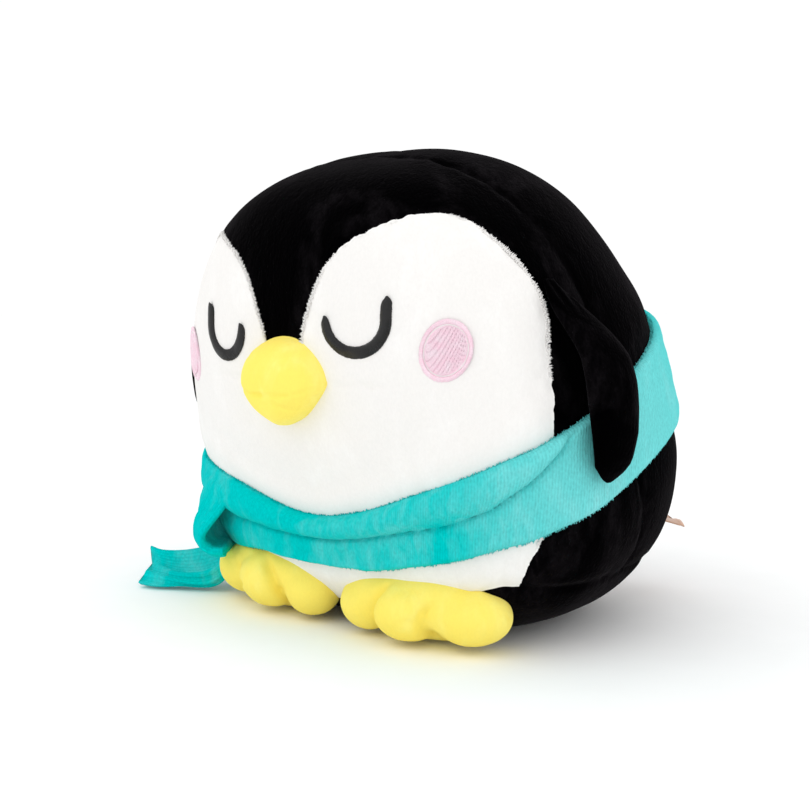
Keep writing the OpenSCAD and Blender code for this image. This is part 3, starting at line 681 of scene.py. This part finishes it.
def beak():
    """Stuffed beak with a seam across, a crease, a pinch and small tucks round its rim."""
    rows, cols = 74, 200
    r = np.linspace(0.015, 1.03, rows)[:, None]
    a = np.linspace(0, 2 * np.pi, cols, endpoint=False)[None, :]
    r, a = np.broadcast_arrays(r, a)
    power = np.where(np.sin(a) < 0, BEAK_LOW_ROUND, 2.0)
    rim = (np.abs(np.cos(a)) ** power + np.abs(np.sin(a)) ** power) ** (-1 / power)
    rim = rim * (1 + 0.012 * np.sin(5 * a + 1))
    x, z = BEAK_W * r * rim * np.cos(a), BEAK_H * r * rim * np.sin(a)
    d = front_dir(x.ravel(), (BEAK_Z + z).ravel())
    flat = d * 60
    lift = BEAK_OUT * np.clip(1 - np.minimum(r, 1) ** 2.9, 0, 1) ** 0.57
    seam = hump(z + 1.1 * (1 - r * r), 1.3) * (0.75 + 0.45 * noise(flat, 1.6, 31).reshape(r.shape))
    soft = 0.35 * noise(flat, 6, 33).reshape(r.shape)
    lift = lift - 1.3 * seam * smooth(lift / 6) + soft * smooth(lift / 8)
    crease = hump((x - 10) * 0.5 + (z + 7), 1.6) * hump(x - 11, 8)
    pinch = hump((x - 19) * 0.8 - (z + 4) * 0.4, 2.0) * hump(z + 4, 5)
    lift -= 0.9 * crease + 0.8 * pinch
    tucks = 0.5 * np.sin(a * 22 + 2 * np.sin(3 * a)) * hump((r - 0.97) / 0.06, 1)
    lift = np.where(r > 1, -2.5, lift + tucks).ravel()
    droop = math.radians(BEAK_DROOP_DEG)
    ahead = np.array([0, -math.cos(droop), -math.sin(droop)])
    points = skin(d, 0.5) + ahead * lift[:, None]
    faces = grid_faces(rows, cols, close_cols=True).tolist()
    faces += [[(c + 1) % cols, c, len(points)] for c in range(cols)]
    points = np.vstack([points, points[:cols].mean(0) + ahead * 0.1])
    add_piece("beak_plush", points, faces, YELLOW, "body",
              ["beak_upper_panel", "beak_lower_panel", "beak_filling"])


# ---------- embroidery ----------


def threads(starts, ends, ups, thick, arch, sides=5, steps=5):
    """Satin stitches: each thread leaves the cloth at its start, arches over and dives in at its end."""
    t = np.linspace(0, 1, steps)
    line = starts[:, None] + (ends - starts)[:, None] * t[None, :, None]
    line = line + ups[:, None] * (arch * np.sin(np.pi * t) ** 0.55)[None, :, None]
    along = unit(ends - starts)
    across = unit(np.cross(along, ups))
    angle = np.arange(sides) * 2 * np.pi / sides
    ring = across[:, None, None] * np.cos(angle)[None, None, :, None]
    ring = ring + ups[:, None, None] * np.sin(angle)[None, None, :, None]
    points = line[:, :, None] + ring * (thick / 2)
    one = grid_faces(steps, sides, close_cols=True)
    caps = [list(range(sides))[::-1], [(steps - 1) * sides + k for k in range(sides)]]
    faces, size = [], steps * sides
    for number in range(len(starts)):
        faces += (one + number * size).tolist()
        faces += [[k + number * size for k in cap] for cap in caps]
    return points.reshape(-1, 3), faces


def eye_path(t):
    """Middle line of the stitched eye: a low arc that rises at its outer end."""
    a = np.radians(mix(-92, 90, np.minimum(1, t / 0.78)))
    up = np.maximum(0, (t - 0.78) / 0.22)
    return np.stack([EYE_X + EYE_W * np.sin(a), EYE_Z - EYE_DROP * np.cos(a) + EYE_TAIL * up], -1)


def eye(name, side):
    """Closed eye: satin stitches across the line, over a padded bed."""
    count = 165
    t = np.linspace(0, 1, count)
    middle = eye_path(t)
    if side < 0:
        middle = np.stack([mix(EYE_X, middle[:, 0], RIGHT_EYE_SHARE), middle[:, 1] - RIGHT_EYE_DROP], 1)
    run = unit(np.gradient(middle, axis=0))
    out = np.stack([run[:, 1], -run[:, 0]], -1)
    end = np.abs(2 * t - 1)
    half = EYE_LINE / 2 * np.sqrt(np.maximum(0.14, 1 - end**16))
    rng = np.random.default_rng(9)
    half_a = half * (1 + rng.uniform(-0.05, 0.06, count))
    half_b = half * (1 + rng.uniform(-0.05, 0.06, count))
    slant = run * 0.35
    ends = [middle + out * half_a[:, None] + slant, middle - out * half_b[:, None] - slant]
    dirs = [front_dir(side * q[:, 0], q[:, 1]) for q in ends]
    up = unit(dirs[0] + dirs[1])
    sunk = np.full(count, 0.5)
    stitches = threads(skin(dirs[0], sunk), skin(dirs[1], sunk), up, 0.62, 1.35)
    bed_rows = []
    for s in np.linspace(-0.95, 0.95, 9):
        q = middle + out * (half * s)[:, None]
        high = np.full(count, 0.55 + 0.95 * (1 - s * s))
        bed_rows.append(skin(front_dir(side * q[:, 0], q[:, 1]), high))
    bed = np.stack(bed_rows, 1).reshape(-1, 3), grid_faces(count, len(bed_rows))
    points, faces = joined([stitches, bed])
    add_piece(f"{name}_eye_stitches", points, faces, DARK_THREAD, "body",
              [f"{name}_eye_embroidery"])


def cheek(name, side):
    """Cheek: rows of fill stitches, a satin border and tufts of pile in the groove round it."""
    middle = front_dir(side * CHEEK_X, CHEEK_Z - (RIGHT_CHEEK_DROP if side < 0 else 0))
    out_x = unit(np.cross([0.0, 0.0, 1.0], middle))
    out_z = np.cross(middle, out_x)
    size = float(reach(middle))

    def spot(u, v, lift):
        d = unit(middle + (np.multiply.outer(u, out_x) + np.multiply.outer(v, out_z)) / size)
        return skin(d, np.broadcast_to(lift, np.shape(u)).astype(float))

    rng = np.random.default_rng(12)
    parts = []
    inner = CHEEK_R - 2.7
    pitch, long = 0.52, 3.4
    starts, ends = [], []
    for number, u in enumerate(np.arange(-inner, inner, pitch)):
        reach_v = math.sqrt(max(0.0, inner**2 - u**2))
        v = -reach_v + (number % 4) * long / 4 - long
        while v < reach_v:
            low, high = max(v, -reach_v), min(v + long, reach_v)
            if high - low > 0.5:
                starts.append((u + 0.12 * low, low + 0.12))
                ends.append((u + 0.12 * high, high - 0.12))
            v += long
    starts, ends = np.array(starts), np.array(ends)
    ups = np.broadcast_to(middle, (len(starts), 3))
    parts.append(threads(spot(*starts.T, 0.55), spot(*ends.T, 0.55), ups, 0.6, 0.42))
    count = 190
    a = np.linspace(0, 2 * np.pi, count, endpoint=False)
    inside, outer = CHEEK_R - 1.9, CHEEK_R + rng.uniform(-0.12, 0.16, count)
    twist = 0.05
    ups = np.broadcast_to(middle, (count, 3))
    starts = spot(inside * np.cos(a), inside * np.sin(a), 0.45)
    ends = spot(outer * np.cos(a + twist), outer * np.sin(a + twist), 0.35)
    parts.append(threads(starts, ends, ups, 0.5, 0.85))
    r = np.linspace(0.02, 1, 18)[:, None] * (CHEEK_R - 1.9)
    bed = spot((r * np.cos(a)).ravel(), (r * np.sin(a)).ravel(), 0.55)
    parts.append((bed, grid_faces(18, count, close_cols=True)))
    points, faces = joined(parts)
    add_piece(f"{name}_cheek_stitches", points, faces, PINK_THREAD, "body",
              [f"{name}_cheek_patch"])
    line = 96
    a = np.linspace(0, 2 * np.pi, line, endpoint=False)
    rings = []
    for angle in np.linspace(0, 2 * np.pi, 8, endpoint=False):
        rr = CHEEK_R - 2.3 + 0.2 * math.cos(angle)
        rings.append(spot(rr * np.cos(a), rr * np.sin(a), 0.7 + 0.25 * math.sin(angle)))
    points = np.stack(rings, 1)
    add_piece(f"{name}_cheek_groove_pile", points.reshape(-1, 3), grid_faces(line, 8, True, True), WHITE,
              "body")


# ---------- scarf ----------

CREASE_TURN = [-180, -75, -60, -37, -5, 28, 45, 55, 62, 69, 74, 180]
CREASE_AT = [1.02, 1.02, 0.62, 0.40, 0.55, 0.55, 0.47, 0.50, 0.66, 0.90, 1.02, 1.02]


def scarf_lift(turn, s):
    """Height of the outer side of the band over the body, s from the low edge to the top edge."""
    crease = np.interp(turn, CREASE_TURN, CREASE_AT)
    rolled = smooth((1.0 - crease) * 5)
    band = 4.4 * np.clip(1 - np.abs(2 * s / np.maximum(crease, 0.2) - 1) ** 6, 0, 1) ** 0.5
    u = np.clip((s - crease) / np.maximum(1 - crease, 0.05), 0, 1)
    roll = 8.6 * np.sqrt(np.clip(1 - (2 * u - 1) ** 2, 0, 1)) * rolled
    flat = 5.0 * np.clip(1 - np.abs(2 * s - 1) ** 8, 0, 1) ** 0.5
    flat += 1.3 * hump(s - 0.93, 0.07) + 0.9 * hump(s - 0.06, 0.07)
    lift = mix(flat, np.where(s < crease, band + 0.9 * hump(s - 0.07, 0.08), roll), rolled)
    tight = 0.5 * hump(turn + 78, 26)
    return lift * (1 - tight) + 1.5 * hump(turn - KNOT_TURN, 6) * hump(s - 0.6, 0.24)


def scarf_band():
    """Scarf round the neck, with a rolled upper edge in front, and tufts along both edges."""
    rows, outer, inner = 900, 60, 14
    turn = np.linspace(-180, 180, rows, endpoint=False)[:, None]
    s_out = 0.5 - 0.5 * np.cos(np.linspace(0, np.pi, outer))
    s_out = mix(s_out, np.linspace(0, 1, outer), 0.55)[None, :]
    s_in = np.linspace(0.98, 0.02, inner)[None, :]
    turn_o, s_o = np.broadcast_arrays(turn, s_out)
    lift = scarf_lift(turn_o, s_o)
    arc = turn_o / 57.3 * BAND_R
    place = np.stack([arc.ravel(), (s_o * BAND_WIDE).ravel(), np.zeros(arc.size)], 1)
    long_folds = noise(place * [0.16, 1, 1], 8, 41).reshape(arc.shape)
    short_folds = noise(place * [1, 0.3, 1], 13, 42).reshape(arc.shape)
    fine = noise(place, 3.2, 43).reshape(arc.shape)
    inner_share = smooth(np.minimum(s_o, 1 - s_o) * 9)
    gather = hump(turn_o - KNOT_TURN - 6, 13)
    ridges = np.sin(s_o * 2 * np.pi * 2.3 + 0.02 * arc) * 1.3 * gather
    lift = lift + (0.75 * long_folds + 0.45 * short_folds + 0.22 * fine + ridges) * inner_share
    lift = lift + 1.6 * hump(turn_o - 22, 9) * hump(s_o - 0.22, 0.2) * np.sin(turn_o * 0.35)
    edge = 0.9 * noise(place * [1, 0, 0], 14, 45).reshape(arc.shape)
    height = mix(scarf_low(turn_o) + edge, scarf_top(turn_o) + edge * 0.6, s_o)
    shape_o = skin(at_height(turn_o, height).reshape(-1, 3), (0.6 + lift).ravel())
    turn_i, s_i = np.broadcast_arrays(turn, s_in)
    height = mix(scarf_low(turn_i), scarf_top(turn_i), s_i)
    shape_i = skin(at_height(turn_i, height).reshape(-1, 3), np.full(turn_i.size, -0.6))
    grid = np.concatenate([shape_o.reshape(rows, outer, 3), shape_i.reshape(rows, inner, 3)], 1)
    slant = 6 * np.sin(arc / 60)
    along = np.hstack([arc + slant, arc[:, :inner]])
    across = np.hstack([s_o, s_i]) * BAND_WIDE
    lay = np.stack([along, across], -1).reshape(-1, 2)
    faces = grid_faces(rows, outer + inner, True, True)[:, ::-1]
    piece = add_piece("scarf_band_cloth", grid.reshape(-1, 3), faces, TEAL, "body",
                      ["scarf_band"], lay=lay)
    rng = np.random.default_rng(15)
    parts = []
    for column, way in ((0, -1.0), (outer - 1, 1.0)):
        edge_line = grid[:, column]
        at = rng.uniform(0, rows - 1, 1700)
        low = at.astype(int)
        roots = mix(edge_line[low], edge_line[low + 1], (at - low)[:, None])
        up = unit(roots - CENTRE)
        out = unit(np.cross(np.cross(up, [0, 0, 1.0]), up)) * way
        starts = roots + up * rng.uniform(0, 1.8, (len(at), 1)) - out * 0.5
        parts.append(strands(starts, out, up, rng, (0.8, 1.7), 0.7))
    points, faces = joined(parts)
    tufts = add_piece("scarf_band_pile_edge", points, faces, TEAL, "body")
    return piece, tufts


def draped(net, rows, cols, thick, ripple):
    """Closed cloth through a net of points: its lines follow one another, each runs across the cloth."""
    net = np.array(net, float)
    lines = np.stack([spline(net[:, k], rows) for k in range(net.shape[1])], 1)
    sheet = np.stack([spline(line, cols) for line in lines])
    up = unit(np.cross(np.gradient(sheet, axis=0), np.gradient(sheet, axis=1)))
    t, v = np.meshgrid(np.linspace(0, 1, rows), np.linspace(-1, 1, cols), indexing="ij")
    sheet = sheet + up * ripple(t, v)[..., None]
    half = up * (thick / 2 * np.clip(1 - np.abs(v) ** 8, 0, 1) ** 0.5)[..., None]
    points, faces = capped(np.concatenate([sheet + half, (sheet - half)[:, 1:-1][:, ::-1]], 1))
    step = np.linalg.norm(np.diff(net.mean(1), axis=0), axis=1).sum()
    wide = np.linalg.norm(net[-1, 0] - net[-1, -1])
    flat = np.stack([v * wide / 2, t * step], -1)
    lay = np.concatenate([flat, flat[:, 1:-1][:, ::-1]], 1).reshape(-1, 2)
    return points, faces, np.vstack([lay, lay[:1], lay[-1:]])


# The fold below the knot: each line goes from the edge nearest the front to the edge at the side, as
# (distance out from the band, height); the five places across are FOLD_WIDE apart.
FOLD_START, FOLD_OUT, FOLD_BACK = (-66.0, -87.0), (-0.74, -0.67), (-0.67, 0.74)
FOLD_WIDE = 9.0
FOLD = [
    [(-6, 69), (0, 72), (3, 73), (4, 72), (2, 69)],
    [(0, 64), (6, 66), (10, 67), (11, 66), (8, 64)],
    [(0, 58), (8, 58), (14, 58), (14.5, 58), (11, 57)],
    [(4, 52), (11, 51), (15.5, 51), (15.5, 51), (11, 51)],
    [(9, 46), (14.5, 46), (16.5, 46), (14, 46), (7, 46)],
    [(13, 41), (16, 41), (16.5, 41), (12, 41), (4, 41)],
    [(14.5, 37), (15.5, 36.5), (15, 36), (10, 36), (2, 36)],
    [(13, 33.5), (13, 33), (12, 33), (7, 33), (0, 34)],
    [(9, 31.5), (9.5, 31), (8.5, 31), (4, 31.5), (-1, 32)],
    [(5, 31), (5, 30.5), (4, 30.5), (2, 31), (-2, 31.5)],
    [(3, 31), (3, 31), (2, 31), (0, 31.5), (-3, 32)],
]


def scarf_knot():
    """Cloth folded over itself below the knot."""
    net = []
    for line in FOLD:
        places = [(FOLD_START[0] + FOLD_OUT[0] * out + FOLD_BACK[0] * FOLD_WIDE * k,
                   FOLD_START[1] + FOLD_OUT[1] * out + FOLD_BACK[1] * FOLD_WIDE * k, high)
                  for k, (out, high) in enumerate(line)]
        net.append(places)

    def ripple(t, v):
        place = np.stack([t.ravel() * 50, v.ravel() * 18, np.zeros(t.size)], 1)
        folds = 0.7 * noise(place * [0.5, 1, 1], 7, 51) + 0.3 * noise(place, 3, 52)
        return folds.reshape(t.shape) * smooth((1 - np.abs(v)) * 4) - 1.0 * hump(v + 0.1 + 0.5 * t, 0.10)

    points, faces, lay = draped(net, 150, 60, 5.2, ripple)
    return add_piece("scarf_knot_cloth", points, faces, TEAL, "body", ["scarf_knot"],
                     lay=lay)


# The long end, from the knot to its tip: each line goes from the raised back edge through the trough
# and the fold to the front edge.
LONG_END = [
    [(-93, -50, 31), (-89, -57, 30.5), (-86, -64, 30.5), (-82, -70, 30.5)],
    [(-103, -46, 26), (-98, -53, 23), (-95, -61, 22), (-91, -63, 18)],
    [(-110, -47, 24), (-104, -54, 14), (-99, -63, 15), (-97, -62, 8)],
    [(-123, -52, 21), (-116, -61, 6.5), (-107, -69, 9.5), (-105, -66, 2)],
    [(-136, -60, 18), (-130, -67, 5), (-121, -75, 7.5), (-119, -77, 2)],
    [(-147, -67, 17.5), (-142, -71, 7.5), (-136, -76, 8), (-131, -86, 2)],
    [(-157, -68, 18.5), (-152, -70, 12), (-147, -74, 8), (-142, -89, 2)],
]


def scarf_long_end():
    """Long end of the scarf, trailing from the knot to the floor in a trough and a fold."""
    def ripple(t, v):
        wavy = 1.3 * np.sin((v - 0.3) * 17 + 1.5 * t) * smooth((v - 0.3) * 5) * smooth((t - 0.3) * 4)
        place = np.stack([t.ravel() * 60, v.ravel() * 18, np.zeros(t.size)], 1)
        folds = 0.4 * noise(place * [0.4, 1, 1], 6, 53).reshape(t.shape)
        return wavy + folds * smooth((1 - np.abs(v)) * 4)

    points, faces, lay = draped(LONG_END, 150, 70, 3.8, ripple)
    points[:, 2] = np.maximum(points[:, 2], 0.15)
    piece = add_piece("scarf_long_end_cloth", points, faces, TEAL, "scarf_long_end",
                      ["scarf_tail_long"], lay=lay)


def scarf_short_end():
    """Short end of the scarf, hanging behind the right foot."""
    net = []
    for t in np.linspace(0, 1, 6):
        turn = mix(KNOT_TURN - 27, KNOT_TURN - 33, t) + np.linspace(-1, 1, 4) * mix(3.6, 5.2, t)
        height = mix(float(scarf_low(KNOT_TURN - 27)) - 4.5, 16.0, t)
        lift = 4.5 + 14 * t * t + 1.2 * np.cos(np.linspace(0, 5, 4) + t)
        net.append(skin(at_height(turn, np.full(4, height)), lift))

    def ripple(t, v):
        return 0.5 * np.sin(v * 7 + 2 * t) * smooth((1 - np.abs(v)) * 4)

    points, faces, lay = draped(net, 60, 40, 3.8, ripple)
    points[:, 2] = np.maximum(points[:, 2], 0.15)
    piece = add_piece("scarf_short_end_cloth", points, faces, TEAL, "scarf_short_end",
                      ["scarf_tail_short"], lay=lay)


# ---------- flippers ----------


def flipper(name, side):
    """Flat stuffed flipper, narrow at its root and rounded at its tip."""
    rows, cols = 90, 84
    t = np.linspace(0, 1, rows)
    stations = np.linspace(0, 1, 9)
    wide = FLIPPER_W * np.interp(t, stations, [0.1, 0.44, 0.6, 0.67, 0.72, 0.7, 0.64, 0.54, 0.42])
    wide = np.convolve(np.pad(wide, 5, mode="edge"), np.ones(11) / 11, mode="valid")
    wide = wide * np.clip((1.0 - t) / 0.09, 0.02, 1) ** 0.5
    fat = FLIPPER_T * np.interp(t, stations, [0.12, 0.45, 0.8, 0.98, 1, 0.95, 0.85, 0.6, 0.14])
    fat = fat * np.clip((1.0 - t) / 0.05, 0.1, 1) ** 0.5
    a = np.linspace(0, 2 * np.pi, cols, endpoint=False)
    t2, a2 = np.broadcast_arrays(t[:, None], a[None, :])
    y = FLIPPER_ROOT_Y + 9 * smooth(t2 * 2.5) + 4 * t2**2 + wide[:, None] * np.cos(a2)
    z = mix(FLIPPER_ROOT_Z, FLIPPER_TIP_Z, t2)
    gap = 1.4 + 9 * smooth(t2 * 1.9)
    flat = np.stack([y.ravel(), z.ravel(), 10 * np.sin(a2).ravel()], 1)
    thick = fat[:, None] / 2 * np.sign(np.sin(a2)) * np.abs(np.sin(a2)) ** 0.8
    thick = thick * (1 + 0.10 * noise(flat, 14, 61).reshape(a2.shape))
    thick += 0.5 * np.sin(y * 1.1) * hump(t2 - 0.06, 0.08) * np.sign(np.sin(a2)) * np.abs(np.sin(a2))
    x = side_x(y, z) + gap + fat[:, None] / 2 + thick
    points, faces = capped(np.stack([side * x, y, z], -1))
    if side > 0:
        faces = [face[::-1] for face in faces]
    nodes = [f"{name}_flipper_{part}" for part in ("outer_panel", "inner_panel", "filling")]
    add_piece(f"{name}_flipper_plush", points, faces, BLACK, f"{name}_flipper", nodes)


# ---------- feet ----------

# Middle, half sizes and outward turn of the lumps that make up a left foot: instep and heel first,
# then the toes from the inner one out
FOOT_LUMPS = [
    ((49, -69, 22), (40, 12.5, 15), 5),
    ((50, -60, 15), (34, 14, 14), 5),
    ((20, -69, 15.5), (15, 14, 13.5), -12),
    ((49, -71.5, 17.5), (19, 16.5, 15.5), 4),
    ((79, -61, 17.5), (20, 15.5, 14.5), 20),
]
# Creases between the toes of a left foot: place across and height where it runs out
FOOT_CREASES = [(33, 33), (64, 28)]
# Stitched dimples in a left foot: place, width and depth
FOOT_DIMPLES = [
    ((60, -86, 15), 3.2, 1.7),
    ((31, -81, 15), 3.2, 1.5),
    ((26, -82, 10), 5, 0.9),
    ((55, -86, 9), 6, 0.9),
]


def foot(name, side):
    """Toes and heel grown together into one stuffed skin, swelled, then dimpled by its stitches."""
    parts = []
    d, faces = sphere_mesh(5)
    for middle, half, turn in FOOT_LUMPS:
        a = math.radians(turn)
        p = d * half
        x = p[:, 0] * math.cos(a) - p[:, 1] * math.sin(a)
        y = p[:, 0] * math.sin(a) + p[:, 1] * math.cos(a)
        parts.append((np.stack([side * (x + middle[0]), y + middle[1], p[:, 2] + middle[2]], 1), faces))
    points, faces = joined(parts)
    if side < 0:
        faces = [face[::-1] for face in faces]
    nodes = [f"{name}_foot_{part}" for part in ("top_panel", "sole_panel", "filling")]
    piece = add_piece(f"{name}_foot_plush", points, faces, YELLOW, f"{name}_foot", nodes)
    grown = piece.modifiers.new("grown", "REMESH")
    grown.mode, grown.voxel_size = "VOXEL", 1.3 * MM
    rounded = piece.modifiers.new("rounded", "SMOOTH")
    rounded.factor, rounded.iterations = 0.5, 12
    with bpy.context.temp_override(object=piece, active_object=piece, selected_objects=[piece]):
        for made in (grown, rounded):
            bpy.ops.object.modifier_apply(modifier=made.name)
    p = np.array([v.co for v in piece.data.vertices]) / MM
    out = unit(p - np.array(FOOT_MIDDLE) * [side, 1, 1])
    soft = 0.35 * noise(p, 7, 71) + 0.5 * noise(p, 17, 72)
    for place, wide, deep in FOOT_DIMPLES:
        away = np.linalg.norm((p - np.array(place) * [side, 1, 1]) * [1, 1, 1.6], axis=1)
        soft -= deep * hump(away, wide)
    for across, top in FOOT_CREASES:
        line = side * (across + 0.03 * np.maximum(p[:, 2] - 12, 0) ** 2)
        in_front = smooth((FOOT_MIDDLE[1] - p[:, 1]) / 10)
        soft -= 3.6 * hump(p[:, 0] - line, 2.6) * smooth((top - p[:, 2]) / 8) * in_front
    p = p + out * soft[:, None]
    p[:, 2] = np.maximum(p[:, 2], 0.05)
    piece.data.vertices.foreach_set("co", (p * MM).astype(np.float32).ravel())
    piece.data.materials.clear()
    piece.data.materials.append(YELLOW)
    piece.data.shade_smooth()
    piece.data.update()


# ---------- label ----------


def label():
    """Folded satin label sewn in at the back."""
    turn, droop = math.radians(LABEL_TURN), math.radians(LABEL_DROOP_DEG)
    level = math.cos(droop)
    out = np.array([math.sin(turn) * level, -math.cos(turn) * level, -math.sin(droop)])
    along = np.array([math.cos(turn), math.sin(turn), 0.0])
    root = skin(at_height(LABEL_TURN, LABEL_Z), 2.7)
    net = [[root + out * LABEL_L * t + along * LABEL_W * w + [0, 0, 1.2 * math.sin(9 * w + 3 * t) * t]
            for w in (-0.5, -0.2, 0.2, 0.5)] for t in (0, 0.3, 0.65, 1)]
    points, faces, lay = draped(net, 50, 40, 1.3, lambda t, v: 0.25 * hump(t - 0.93, 0.03))
    piece = add_piece("care_label_satin", points, faces, TAN_SATIN, "label", ["care_label"],
                      lay=lay)


# ---------- stage, light and camera ----------


def stage():
    """Pale floor, white surroundings and three soft lights."""
    mesh = bpy.data.meshes.new("studio_floor")
    corners = [(x * 4.0, y * 4.0, -0.0004) for x, y in ((-1, -1), (1, -1), (1, 1), (-1, 1))]
    mesh.from_pydata(corners, [], [(0, 1, 2, 3)])
    floor = bpy.data.objects.new("studio_floor", mesh)
    bpy.context.scene.collection.objects.link(floor)
    made, tree, shader, place = blank_material("pale_paper")
    grain = ramp(tree, speckle(tree, place, 40), [(0.3, 0.975), (0.7, 0.99)])
    tree.links.new(grain, shader.inputs["Base Color"])
    shader.inputs["Roughness"].default_value = 0.95
    mesh.materials.append(made)
    world = bpy.data.worlds.new("studio")
    world.use_nodes = True
    world.node_tree.nodes["Background"].inputs[0].default_value = (1, 1, 1, 1)
    world.node_tree.nodes["Background"].inputs[1].default_value = 1.03
    bpy.context.scene.world = world
    bpy.context.scene.view_settings.view_transform = "Standard"
    for name, place, power, size in (
        ("key", (-0.2, -1.1, 1.35), 3.0, 1.3),
        ("side", (1.45, 0.15, 0.75), 1.5, 1.0),
        ("top", (0.1, 0.35, 1.7), 1.5, 1.4),
    ):
        data = bpy.data.lights.new(name, "AREA")
        data.energy, data.size = power, size
        light = bpy.data.objects.new(name, data)
        light.location = place
        light.rotation_euler = (Vector((0, 0, 0.11)) - Vector(place)).to_track_quat("-Z", "Y").to_euler()
        bpy.context.scene.collection.objects.link(light)


def camera():
    """Camera at the left front, a little above the middle of the toy."""
    place, target = Vector((0.4637, -0.5352, 0.1816)), Vector((0.0304, -0.0541, 0.1136))
    data = bpy.data.cameras.new("camera")
    data.lens, data.sensor_width = 58.74, 36.0
    made = bpy.data.objects.new("camera", data)
    made.location = place
    made.rotation_euler = (target - place).to_track_quat("-Z", "Y").to_euler()
    bpy.context.scene.collection.objects.link(made)
    bpy.context.scene.camera = made


camera()
stage()
body_panels()
beak()
for part_side, part_name in ((1, "left"), (-1, "right")):
    eye(part_name, part_side)
    cheek(part_name, part_side)
    flipper(part_name, part_side)
    foot(part_name, part_side)
band, band_tufts = scarf_band()
knot = scarf_knot()
scarf_long_end()
scarf_short_end()
label()
